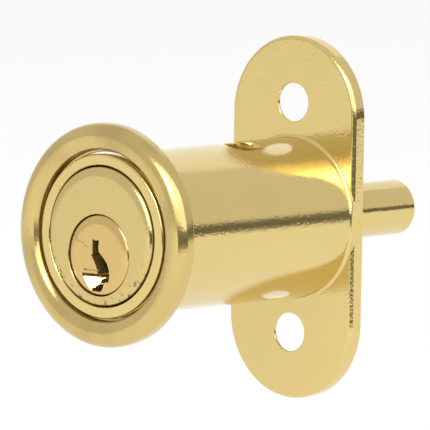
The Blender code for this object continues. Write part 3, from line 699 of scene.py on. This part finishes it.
class LOCK_OT_housing(bpy.types.Operator):
    """Build the housing: a tube cast in one with its fixing plate"""

    bl_idname = "lock.housing"
    bl_label = "Housing"

    def execute(self, context):
        sizes = context.scene.lock_sizes
        plate_back = HOUSING_HIGH.y
        body = carve(self.tube(sizes), self.side_trims(sizes))
        body = carve(body, [self.plate(sizes)], "UNION")
        bore = sizes.tube_radius - sizes.tube_wall
        floor = plate_back - sizes.floor_thickness
        mouth = HOUSING_LOW.y
        ease = 0.1 * MM
        tools = [
            turn([(bore, floor), (bore, mouth + ease), (bore + ease + OVERCUT, mouth - OVERCUT)]),
            turn(self.bolt_hole(sizes, plate_back, floor), SMALL_STEPS),
        ]
        offset = sizes.tube_radius + sizes.screw_hole_offset
        for side in (-1, 1):
            tools.append(turn(self.screw_hole(sizes, plate_back), SMALL_STEPS, (0, 0, side * offset)))
        tools.append(self.window(sizes))
        _, _, pin = extent("guide_pin")
        guide = rod(1.05 * MM, bore - OVERCUT, sizes.tube_radius + OVERCUT)
        tools.append(moved(guide, Matrix.Translation((0, pin.y, 0)) @ FROM_SIDE))
        body = carve(body, tools)
        show(body, "tube_and_plate", polished_brass(), ["housing"], "housing")
        return {"FINISHED"}

    def tube(self, sizes):
        """Solid tube with its rounded mouth and the fillet that runs into the plate."""
        fillet = sizes.plate_fillet
        flare = sizes.tube_radius + fillet
        rim = sizes.rim_round
        mouth = HOUSING_LOW.y
        profile = [(flare, HOUSING_HIGH.y / 2)]
        profile += arc((flare, -fillet), fillet, fillet, 90, 180, 8)
        profile += arc((sizes.tube_radius - rim, mouth + rim), rim, rim, 0, -90, 5)
        return turn(profile)

    def side_trims(self, sizes):
        """Blocks that cut the fillet flush with the plate's long sides."""
        trims = []
        for side in (-1, 1):
            near = HOUSING_HIGH.x * side
            far = (HOUSING_HIGH.x + 2 * sizes.plate_fillet) * side
            low = (min(near, far), -2 * sizes.plate_fillet, -sizes.tube_radius)
            high = (max(near, far), HOUSING_HIGH.y, sizes.tube_radius)
            trims.append(box_shape(low, high))
        return trims

    def plate(self, sizes):
        """Obround plate with a rounded front edge and an eased rear edge."""
        thickness = HOUSING_HIGH.y
        shape = obround(2 * HOUSING_HIGH.x, 2 * HOUSING_HIGH.z, -thickness, 0, 2 * SMALL_STEPS)
        round_edges(shape, sizes.plate_edge_round, 6, lambda spot: spot.z > -thickness / 2)
        round_edges(shape, 0.15 * MM, 3, lambda spot: spot.z < -thickness / 2)
        return moved(shape, UPWARDS)

    def bolt_hole(self, sizes, plate_back, floor):
        """Profile of the bolt's hole, eased at the rear."""
        radius = sizes.bolt_radius + SEAT
        ease = 0.15 * MM
        return [
            (radius + ease + OVERCUT, plate_back + OVERCUT),
            (radius, plate_back - ease),
            (radius, floor - OVERCUT),
        ]

    def screw_hole(self, sizes, plate_back):
        """Profile of a screw hole, countersunk at 90 degrees from the rear and eased in front."""
        radius = sizes.screw_hole_radius
        land = sizes.screw_hole_land
        ease = 0.08 * MM
        return [
            (radius + plate_back - land + OVERCUT, plate_back + OVERCUT),
            (radius, land),
            (radius, ease),
            (radius + ease + OVERCUT, -OVERCUT),
        ]

    def window(self, sizes):
        """Oblong window for the latch's tip, out through the tube's upper side."""
        flare_depth = 0.45 * MM
        top = sizes.tube_radius + OVERCUT
        tool = obround(
            LATCH_TIP_WIDTH + 0.4 * MM,
            LATCH_LENGTH + 0.7 * MM,
            sizes.tube_radius - sizes.tube_wall - OVERCUT,
            sizes.tube_radius - flare_depth,
        )
        crown = [face for face in tool.faces if face.normal.z > 0.5]
        grown = bmesh.ops.extrude_face_region(tool, geom=crown)
        rim = [item for item in grown["geom"] if isinstance(item, bmesh.types.BMVert)]
        bmesh.ops.delete(tool, geom=crown, context="FACES_ONLY")
        flare = 1 + 0.8 * MM / LATCH_LENGTH
        bmesh.ops.scale(tool, verts=rim, vec=(flare, flare, 1))
        bmesh.ops.translate(tool, verts=rim, vec=(0, 0, top - sizes.tube_radius + flare_depth))
        return moved(tool, window_frame())


class LOCK_OT_trim_ring(bpy.types.Operator):
    """Build the domed trim ring that slides on the tube"""

    bl_idname = "lock.trim_ring"
    bl_label = "Trim Ring"

    def execute(self, context):
        sizes = context.scene.lock_sizes
        front = RING_LOW.y
        back = RING_HIGH.y
        outer = half_width("trim_ring")
        mouth = sizes.tube_radius + sizes.ring_mouth
        collar = sizes.tube_radius + sizes.ring_collar
        middle = (outer + mouth) / 2
        half = (outer - mouth) / 2
        wall = 1.0 * MM
        recess = back - 1.2 * MM
        tail = 0.55 * MM
        crown = 1.45 * MM
        lip = 0.95 * MM
        step = back - 1.0 * MM
        profile = [(mouth + wall, back), (mouth + wall, recess), (outer - wall, recess)]
        profile += [(outer - wall, back)]
        profile += arc((outer - tail, back - tail), tail, tail, 90, 0, 6)
        profile += arc((middle, front + crown), half, crown, 0, -90, 14)
        profile += arc((middle, front + lip), half, lip, -90, -180, 14)[1:]
        profile += [(mouth, step), (collar, step), (collar, back)]
        ring = turn(profile, centre=(0, 0, RING_CENTRE.z), closed=True)
        round_edges(ring, 0.08 * MM, 2)
        show(ring, "domed_ring", ring_brass(), ["trim_ring"], "trim_ring")
        return {"FINISHED"}


class LOCK_OT_barrel(bpy.types.Operator):
    """Build the barrel with its bores, groove and pocket, and the strip over its pin chambers"""

    bl_idname = "lock.barrel"
    bl_label = "Barrel"

    def execute(self, context):
        sizes = context.scene.lock_sizes
        radius = BARREL_HIGH.x
        edge = sizes.barrel_edge
        depth = edge * BARREL_EDGE_FALL
        slack = 0.13 * MM
        front = BARREL_LOW.y
        profile = [(radius - 0.15 * MM, BARREL_HIGH.y), (radius, BARREL_HIGH.y - 0.15 * MM)]
        profile += [(radius, front + 3 * MM), (radius - slack, front + 2.5 * MM)]
        profile += arc((radius - slack - edge, front + depth), edge, depth, 0, -90, 10)
        barrel = turn(profile)
        barrel = carve(barrel, [*self.front_tools(), *self.chamber_tools(), *self.rear_tools()])
        show(barrel, "key_barrel", barrel_brass(), ["barrel"], "barrel")
        low, high, _ = extent("chamber_cover")
        cover = round_edges(box_shape(low, high), 0.12 * MM, 3)
        show(cover, "chamber_strip", barrel_brass(), ["chamber_cover"], "barrel")
        return {"FINISHED"}

    def front_tools(self):
        """Groove for the guide pin, hole for the retaining pin, and the plug's bore."""
        radius = BARREL_HIGH.x
        _, _, pin = extent("guide_pin")
        width = 2.2 * MM
        groove = obround(width, BARREL_STROKE + width, radius - 1.5 * MM, radius + OVERCUT)
        tools = [moved(groove, Matrix.Translation((0, pin.y + BARREL_STROKE / 2, 0)) @ FROM_SIDE)]
        _, high, keeper = extent("plug_retaining_pin")
        keeper_hole = rod(KEEPER_RADIUS + GAP, -radius, high.z + GAP)
        tools.append(moved(keeper_hole, over(keeper)))
        bore = PLUG_RADIUS + GAP
        front = BARREL_LOW.y
        ease = 0.06 * MM
        end = PLUG_HIGH.y + SEAT
        mouth = [(bore, end), (bore, front + ease), (bore + ease + OVERCUT, front - OVERCUT)]
        tools.append(turn(mouth, SMALL_STEPS * 2, (0, 0, PLUG_CENTRE.z)))
        tail = DRIVE_THROW + DRIVE_RADIUS + SEAT
        pocket = LATCH_CENTRE.y - LATCH_LENGTH / 2
        passage = [(tail, pocket + OVERCUT), (tail, end - OVERCUT)]
        tools.append(turn(passage, SMALL_STEPS, (0, 0, PLUG_CENTRE.z)))
        return tools

    def chamber_tools(self):
        """Slot for the cover strip, and the five pin chambers under it."""
        low, high, _ = extent("chamber_cover")
        slot = box_shape(
            (low.x - GAP, low.y - GAP, low.z - GAP), (high.x + GAP, high.y + GAP, high.z + OVERCUT)
        )
        tools = [slot]
        for number in PIN_NUMBERS:
            name = f"driver_pin_{number}"
            _, _, pin = extent(name)
            chamber = rod(half_width(name) + GAP, 0, high.z)
            tools.append(moved(chamber, Matrix.Translation((0, pin.y, 0)) @ HALF_STEP))
        return tools

    def rear_tools(self):
        """Pocket for the latch, slot for its tip, bore for its spring, and the screws' bores."""
        half = LATCH_LENGTH / 2 + SEAT
        reach = half + OVERCUT
        radius = BARREL_HIGH.x
        room = box_shape(
            (LATCH_LEFT - SEAT, -half, LATCH_FOOT - SEAT),
            (latch_right() + SEAT, reach, LATCH_SHOULDER + LATCH_STROKE + SEAT),
        )
        slot = box_shape(
            (LATCH_LEFT - 1.5 * SEAT, -half - SEAT / 2, LATCH_SHOULDER),
            (-LATCH_LEFT + 1.5 * SEAT, reach + SEAT, radius + OVERCUT),
        )
        bore = rod(LATCH_SPRING_REACH + SEAT, LATCH_FOOT - LATCH_SPRING_LENGTH, LATCH_FOOT + OVERCUT)
        tools = [moved(room, window_frame()), moved(slot, window_frame())]
        tools.append(moved(bore, window_frame(latch_spring_side())))
        rear = BARREL_HIGH.y
        screw = [(SCREW_BORE, rear + OVERCUT), (SCREW_BORE, rear - 3.1 * MM)]
        for number in SCREW_NUMBERS:
            tools.append(turn(screw, PIN_STEPS, screw_place(number)))
        return tools


class LOCK_OT_plug(bpy.types.Operator):
    """Build the plug with its keyway, key guide, pin bores, groove and drive pin"""

    bl_idname = "lock.plug"
    bl_label = "Plug"

    def execute(self, context):
        sizes = context.scene.lock_sizes
        front = PLUG_LOW.y
        rear = PLUG_HIGH.y
        radius = PLUG_RADIUS
        edge = sizes.plug_edge
        depth = edge * PLUG_EDGE_FALL
        slack = 0.09 * MM
        _, _, keeper = extent("plug_retaining_pin")
        half = KEEPER_RADIUS + GAP
        groove = radius - 0.7 * MM
        profile = [(radius - 0.1 * MM, rear), (radius, rear - 0.1 * MM), (radius, keeper.y + half)]
        profile += [(groove, keeper.y + half), (groove, keeper.y - half), (radius, keeper.y - half)]
        profile += [(radius, front + 2.4 * MM), (radius - slack, front + 2 * MM)]
        profile += arc((radius - slack - edge, front + depth), edge, depth, 0, -90, 10)
        plug = turn(profile, SMALL_STEPS * 2, (0, 0, PLUG_CENTRE.z))
        plug = carve(plug, [*self.key_tools(), *self.pin_tools()])
        round_edges(plug, 0.05 * MM, 2, lambda spot: abs(spot.y - front) < 0.001 * MM)
        show(plug, "key_plug", plug_brass(), ["plug"], "plug")
        low, high, centre = extent("drive_pin")
        pin = turn([(DRIVE_RADIUS, high.y), (DRIVE_RADIUS, low.y)], PIN_STEPS, (centre.x, 0, centre.z))
        round_edges(pin, 0.2 * MM)
        show(pin, "drive_peg", ground_steel(), ["drive_pin"], "plug")
        return {"FINISHED"}

    def key_tools(self):
        """Keyway, the sloping key guide beside its foot with the slit above it, and a rim nick."""
        front = PLUG_LOW.y
        _, _, last = extent("key_pin_5")
        deep = last.y + 1.1 * MM - front
        outline = [(-1.0, 0.1), (-1.3, 0.0), (-0.82, -0.7), (-0.4, -1.37), (-0.15, -2.0)]
        outline += [(-0.02, -2.5), (0.84, -2.9), (0.68, -3.62), (0.06, -4.0), (-0.82, -4.26)]
        outline += [(-1.1, -4.85), (0.45, -4.86), (0.85, -4.45), (1.12, -3.8), (1.48, -3.4)]
        outline += [(1.9, -3.52), (2.1, -2.72), (2.04, -1.9), (1.65, -0.95), (0.9, -0.18)]
        outline += [(0.2, 0.42), (0.06, 0.9), (0.12, 2.05), (-0.45, 1.94), (-1.02, 2.1)]
        keyway = outlined([(x * MM, z * MM) for x, z in outline], -deep, OVERCUT)
        slit = box_shape((-2.75 * MM, -2.95 * MM, -2.6 * MM), (0.2 * MM, -2.5 * MM, OVERCUT))
        line = box_shape((-2.5 * MM, -2.12 * MM, -0.3 * MM), (0.1 * MM, -1.94 * MM, OVERCUT))
        guide = self.guide_tool()
        nick = rod(0.28 * MM, -0.5 * MM, OVERCUT, 16)
        nick = moved(nick, Matrix.Translation((1.75 * MM, -5.3 * MM, 0)))
        face = Matrix.Translation((0, front, PLUG_CENTRE.z)) @ UPWARDS
        return [moved(tool, face) for tool in (keyway, slit, line, guide, nick)]

    def guide_tool(self):
        """Wedge whose floor slopes in from its left edge, deepest next to the keyway."""
        left = Vector((-2.7 * MM, -2.95 * MM))
        foot = Vector((-1.5 * MM, -4.85 * MM))
        outline = [left, foot, Vector((-0.6, -4.2)) * MM, Vector((0.4, -3.8)) * MM]
        outline.append(Vector((0.9, -2.9)) * MM)
        wedge = outlined([(spot.x, spot.y) for spot in outline], 0, OVERCUT)
        way = (foot - left).normalized()
        inwards = Vector((-way.y, way.x))
        slope = tan(radians(35))
        brink = 0.01 * MM
        for vert in wedge.verts:
            if vert.co.z < OVERCUT / 2:
                reach = (Vector(vert.co.xy) - left).dot(inwards)
                vert.co.z -= max(reach, 0.0) * slope + brink
        return wedge

    def pin_tools(self):
        """Five pin bores down to the keyway, and the drive pin's seat."""
        tools = []
        for number in PIN_NUMBERS:
            name = f"key_pin_{number}"
            _, _, pin = extent(name)
            bore = rod(half_width(name) + GAP, -1.0 * MM, PLUG_RADIUS + OVERCUT)
            tools.append(moved(bore, Matrix.Translation((0, pin.y, PLUG_CENTRE.z)) @ HALF_STEP))
        low, _, peg = extent("drive_pin")
        seat = [(DRIVE_RADIUS + GAP, PLUG_HIGH.y + OVERCUT), (DRIVE_RADIUS + GAP, low.y - SEAT)]
        tools.append(turn(seat, PIN_STEPS, (peg.x, 0, peg.z)))
        return tools


class LOCK_OT_pin_stacks(bpy.types.Operator):
    """Build the key pins, driver pins and their springs"""

    bl_idname = "lock.pin_stacks"
    bl_label = "Pin Stacks"

    def execute(self, context):
        for number in PIN_NUMBERS:
            self.key_pin(number)
            self.driver(number)
            self.spring(number)
        return {"FINISHED"}

    def key_pin(self, number):
        """Pin with a pointed foot that rests on the key."""
        name = f"key_pin_{number}"
        low, high, centre = extent(name)
        radius = half_width(name)
        point = 0.4 * MM
        profile = [(radius, high.z), (radius, low.z + 0.5 * MM), (point, low.z)]
        shape = moved(turn(profile, PIN_STEPS), UPWARDS)
        round_edges(shape, 0.1 * MM, angle=radians(30))
        moved(shape, over(centre))
        show(shape, f"pointed_pin_{number}", pin_brass(), [name], name)

    def driver(self, number):
        """Plain pin with rounded ends, pressed down by its spring."""
        name = f"driver_pin_{number}"
        low, high, centre = extent(name)
        shape = rod(half_width(name), low.z, high.z)
        round_edges(shape, 0.22 * MM)
        moved(shape, over(centre))
        show(shape, f"top_pin_{number}", nickel(), [name], name)

    def spring(self, number):
        """Spring between a driver and the cover strip."""
        node = f"pin_spring_{number}"
        low, high, centre = extent(node)
        wire = 0.12 * MM
        shape = coil(half_width(node) - wire, wire, 3, low.z, high.z)
        moved(shape, over(centre))
        foot = (centre.x, centre.y, low.z)
        top = (centre.x, centre.y, high.z)
        bend = (f"driver_pin_{number}", "barrel", foot, top)
        show(shape, f"small_spring_{number}", spring_wire(), [node], bend=bend)


class LOCK_OT_latch(bpy.types.Operator):
    """Build the latch block and its spring"""

    bl_idname = "lock.latch"
    bl_label = "Latch"

    def execute(self, context):
        half = LATCH_LENGTH / 2
        block = box_shape((LATCH_LEFT, -half, LATCH_FOOT), (latch_right(), half, LATCH_SHOULDER))
        round_edges(block, 0.22 * MM)
        tip = obround(LATCH_TIP_WIDTH, LATCH_LENGTH, LATCH_SHOULDER - OVERCUT, self.tip_top(context))
        round_edges(tip, 0.3 * MM, 4, lambda spot: spot.z > LATCH_SHOULDER)
        block = carve(block, [tip], "UNION")
        low, high = yoke_corners()
        yoke = box_shape((low[0], -half - OVERCUT, low[1]), (high[0], half + OVERCUT, high[1]))
        block = moved(carve(block, [yoke]), window_frame())
        show(block, "spring_latch", nickel(), ["latch"], "latch")
        floor = LATCH_FOOT - LATCH_SPRING_LENGTH + GAP
        wire = 0.2 * MM
        place = window_frame(latch_spring_side())
        spring = moved(coil(LATCH_SPRING_REACH - wire, wire, 4, floor, LATCH_FOOT - GAP), place)
        bend = ("barrel", "latch", place @ Vector((0, 0, floor)), place @ Vector((0, 0, LATCH_FOOT)))
        show(spring, "latch_coil", spring_wire(), ["latch_spring"], bend=bend)
        return {"FINISHED"}

    def tip_top(self, context):
        """Give the height of the latch's tip, just inside the tube's bore."""
        sizes = context.scene.lock_sizes
        bore = sizes.tube_radius - sizes.tube_wall - GAP
        return sqrt(bore ** 2 - (LATCH_TIP_WIDTH / 2) ** 2) - GAP


class LOCK_OT_bolt(bpy.types.Operator):
    """Build the bolt with its flange, the two screws that hold it and the return spring round it"""

    bl_idname = "lock.bolt"
    bl_label = "Bolt"

    def execute(self, context):
        sizes = context.scene.lock_sizes
        front = BOLT_LOW.y
        rear = front + sizes.flange_thickness
        flange = BOLT_HIGH.x
        end = BOLT_HIGH.y
        nose = 0.45 * MM
        profile = [(sizes.bolt_radius - nose, end)]
        profile += arc((sizes.bolt_radius - nose, end - nose), nose, nose, 90, 0, 6)[1:]
        profile += [(sizes.bolt_radius, rear), (flange, rear), (flange, front)]
        bolt = turn(profile, SMALL_STEPS * 2)
        round_edges(bolt, 0.12 * MM)
        bolt = carve(bolt, [self.screw_seat(number, front, rear) for number in SCREW_NUMBERS])
        show(bolt, "round_bolt", polished_brass(), ["bolt"], "barrel")
        for number in SCREW_NUMBERS:
            self.screw(number)
        self.return_spring()
        return {"FINISHED"}

    def screw_seat(self, number, front, rear):
        """Countersunk hole for a screw through the flange."""
        head = 1.55 * MM
        profile = [(head, rear + OVERCUT), (head, rear - SEAT), (SCREW_BORE, rear - 0.85 * MM)]
        profile.append((SCREW_BORE, front - OVERCUT))
        return turn(profile, PIN_STEPS, screw_place(number))

    def screw(self, number):
        """Countersunk screw with a straight slot."""
        node = f"bolt_screw_{number}"
        low, high, centre = extent(node)
        head = half_width(node)
        shank = 0.9 * MM
        profile = [(head, high.y), (shank, high.y - 0.7 * MM), (shank, low.y)]
        shape = turn(profile, PIN_STEPS, (centre.x, 0, centre.z))
        round_edges(shape, 0.06 * MM, 2)
        half = 0.2 * MM
        slot = box_shape(
            (centre.x - half, high.y - 0.35 * MM, centre.z - 2 * head),
            (centre.x + half, high.y + OVERCUT, centre.z + 2 * head),
        )
        shape = carve(shape, [slot])
        show(shape, f"flange_screw_{number}", ground_steel(), [node], "barrel")

    def return_spring(self):
        """Spring round the bolt, between the flange and the housing's floor."""
        low, high, _ = extent("return_spring")
        radius = 6.0 * MM
        wire = 0.45 * MM
        shape = coil(radius, wire, 5, low.y, high.y, RETURN_SPRING_STEPS)
        moved(shape, ALONG)
        bend = ("housing", "barrel", (0, high.y, 0), (0, low.y, 0))
        show(shape, "return_coil", spring_wire(), ["return_spring"], bend=bend)


class LOCK_OT_plain_pins(bpy.types.Operator):
    """Build the guide pin and the plug's retaining pin"""

    bl_idname = "lock.plain_pins"
    bl_label = "Plain Pins"

    def execute(self, context):
        low, high, centre = extent("guide_pin")
        shape = rod((high.z - low.z) / 2, -high.x, -low.x)
        round_edges(shape, 0.12 * MM)
        moved(shape, Matrix.Translation((0, centre.y, centre.z)) @ FROM_SIDE)
        show(shape, "side_pin", ground_steel(), ["guide_pin"], "housing")
        low, high, centre = extent("plug_retaining_pin")
        shape = rod(KEEPER_RADIUS, low.z, high.z)
        round_edges(shape, 0.12 * MM)
        moved(shape, over(centre))
        show(shape, "keeper_pin", ground_steel(), ["plug_retaining_pin"], "barrel")
        return {"FINISHED"}


# Stage.

CAMERA_AZIMUTH = radians(41.613)
CAMERA_ELEVATION = radians(6.044)
CAMERA_ROLL = radians(0.97)
CAMERA_DISTANCE = 0.9
CAMERA_AIM = Vector((0, -12 * MM, 0))
CAMERA_SHIFT = (-0.0417, 0.0187)
CAMERA_LENS = 554.71
LIGHT_DISTANCE = 3.0
KEY_LAMP_DISTANCE = 2.9
CARD_DISTANCE = 0.6
FLOOR_RADIUS = 8.0


def outwards(azimuth, elevation):
    """Give a direction: azimuth 0 is towards the key side and 90 is +X."""
    flat = cos(elevation)
    return Vector((sin(azimuth) * flat, -cos(azimuth) * flat, sin(elevation)))


class LOCK_OT_stage(bpy.types.Operator):
    """Set up the pale floor, soft lights, dark reflection cards and camera"""

    bl_idname = "lock.stage"
    bl_label = "Stage"

    def execute(self, context):
        stage = context.scene.lock_stage
        context.scene.view_settings.view_transform = "Standard"
        context.scene.view_settings.look = "None"
        self.surroundings(context, stage)
        self.floor(stage)
        self.softbox("front_softbox", (59, 33), (8.0, 2.8), stage.front_light)
        self.softbox("key_lamp", (24, 33), (1.2, 0.5), stage.key_light, KEY_LAMP_DISTANCE)
        self.softbox("rear_softbox", (219, 24), (3.2, 2.9), stage.rear_light)
        self.card("front_card", (14, 120), (-9, 5.5), stage.card_tone)
        self.card("rear_card", (120, 165), (-2.6, 7.0), stage.card_tone)
        self.camera(context)
        return {"FINISHED"}

    def surroundings(self, context, stage):
        """Even light from all round."""
        world = bpy.data.worlds.new("surroundings")
        world.use_nodes = True
        glow = world.node_tree.nodes["Background"]
        glow.inputs["Color"].default_value = (1.0, 1.0, 1.0, 1.0)
        glow.inputs["Strength"].default_value = stage.sky
        context.scene.world = world

    def floor(self, stage):
        """Pale floor, a gap below the lock."""
        shape = bmesh.new()
        bmesh.ops.create_circle(shape, cap_ends=True, radius=FLOOR_RADIUS, segments=64)
        bmesh.ops.translate(shape, verts=shape.verts, vec=(0, 0, CAD_BOX[0].z - stage.floor_drop))
        floor = loose_object(shape, "floor")
        paint = Paint("floor_paper")
        grain = paint.noise(1.0 * MM, detail=3.0)
        tone = stage.floor_tone
        colour = paint.blend(grain, (tone * 0.995,) * 3, (tone,) * 3)
        floor.data.materials.append(paint.finish(base_color=colour, roughness=0.8))

    def softbox(self, name, heading, size, brightness, distance=LIGHT_DISTANCE):
        """Soft light of a width and height that faces the lock from an azimuth and elevation."""
        width, height = size
        light = bpy.data.lights.new(name, "AREA")
        light.shape = "RECTANGLE"
        light.size = width
        light.size_y = height
        light.energy = brightness * pi * width * height
        lamp = bpy.data.objects.new(name, light)
        away = outwards(*map(radians, heading))
        lamp.location = away * distance
        lamp.rotation_euler = away.to_track_quat("Z", "Y").to_euler()
        lamp.visible_camera = False
        bpy.context.scene.collection.objects.link(lamp)

    def card(self, name, azimuths, elevations, tone):
        """Curved dark card that only shows as a reflection near the horizon."""
        start, end = azimuths
        shape = bmesh.new()
        flat = outwards(radians(start), 0) * CARD_DISTANCE
        heights = [CARD_DISTANCE * tan(radians(elevation)) for elevation in elevations]
        ends = [shape.verts.new((flat.x, flat.y, height)) for height in heights]
        edge = shape.edges.new(ends)
        bmesh.ops.spin(
            shape, geom=[*ends, edge], cent=(0, 0, 0), axis=(0, 0, 1), angle=radians(end - start),
            steps=48, use_merge=False,
        )
        card = loose_object(shape, name)
        paint = Paint(f"{name}_paper")
        grain = paint.noise(20 * MM)
        colour = paint.blend(grain, (tone * 0.9,) * 3, (tone,) * 3)
        card.data.materials.append(paint.finish(base_color=colour, roughness=0.9))
        card.visible_camera = False
        card.visible_diffuse = False
        card.visible_shadow = False

    def camera(self, context):
        """Long lens from the key side, to the right and a little above."""
        lens = bpy.data.cameras.new("camera")
        lens.lens = CAMERA_LENS
        lens.sensor_width = 36.0
        lens.clip_start = 0.05
        lens.clip_end = 50.0
        camera = bpy.data.objects.new("camera", lens)
        away = outwards(CAMERA_AZIMUTH, CAMERA_ELEVATION)
        turned = (-away).to_track_quat("-Z", "Y")
        rolled = turned @ Matrix.Rotation(CAMERA_ROLL, 3, "Z").to_quaternion()
        lens.shift_x, lens.shift_y = CAMERA_SHIFT
        camera.location = CAMERA_AIM + away * CAMERA_DISTANCE
        camera.rotation_mode = "QUATERNION"
        camera.rotation_quaternion = rolled
        context.scene.collection.objects.link(camera)
        context.scene.camera = camera


OPERATORS = (
    LOCK_OT_housing,
    LOCK_OT_trim_ring,
    LOCK_OT_barrel,
    LOCK_OT_plug,
    LOCK_OT_pin_stacks,
    LOCK_OT_latch,
    LOCK_OT_bolt,
    LOCK_OT_plain_pins,
    LOCK_OT_stage,
)


class LOCK_PT_panel(bpy.types.Panel):
    """Lists the lock's pieces and settings"""

    bl_idname = "LOCK_PT_panel"
    bl_label = "Push Cylinder Lock"
    bl_space_type = "VIEW_3D"
    bl_region_type = "UI"
    bl_category = "Lock"

    def draw(self, context):
        for group in (context.scene.lock_sizes, context.scene.lock_finishes, context.scene.lock_stage):
            box = self.layout.box()
            for name in group.__annotations__:
                box.prop(group, name)
        for operator in OPERATORS:
            self.layout.operator(operator.bl_idname)


GROUPS = {"lock_sizes": LockSizes, "lock_finishes": LockFinishes, "lock_stage": LockStage}


def register():
    """Register the lock's settings, operators and panel."""
    for name, group in GROUPS.items():
        bpy.utils.register_class(group)
        setattr(bpy.types.Scene, name, bpy.props.PointerProperty(type=group))
    for cls in (*OPERATORS, LOCK_PT_panel):
        bpy.utils.register_class(cls)


def unregister():
    """Remove what register added."""
    for cls in (LOCK_PT_panel, *reversed(OPERATORS)):
        bpy.utils.unregister_class(cls)
    for name, group in GROUPS.items():
        delattr(bpy.types.Scene, name)
        bpy.utils.unregister_class(group)


def main():
    """Build every piece and the stage."""
    register()
    bpy.ops.lock.housing()
    bpy.ops.lock.trim_ring()
    bpy.ops.lock.barrel()
    bpy.ops.lock.plug()
    bpy.ops.lock.pin_stacks()
    bpy.ops.lock.latch()
    bpy.ops.lock.bolt()
    bpy.ops.lock.plain_pins()
    bpy.ops.lock.stage()


if __name__ == "__main__":
    main()
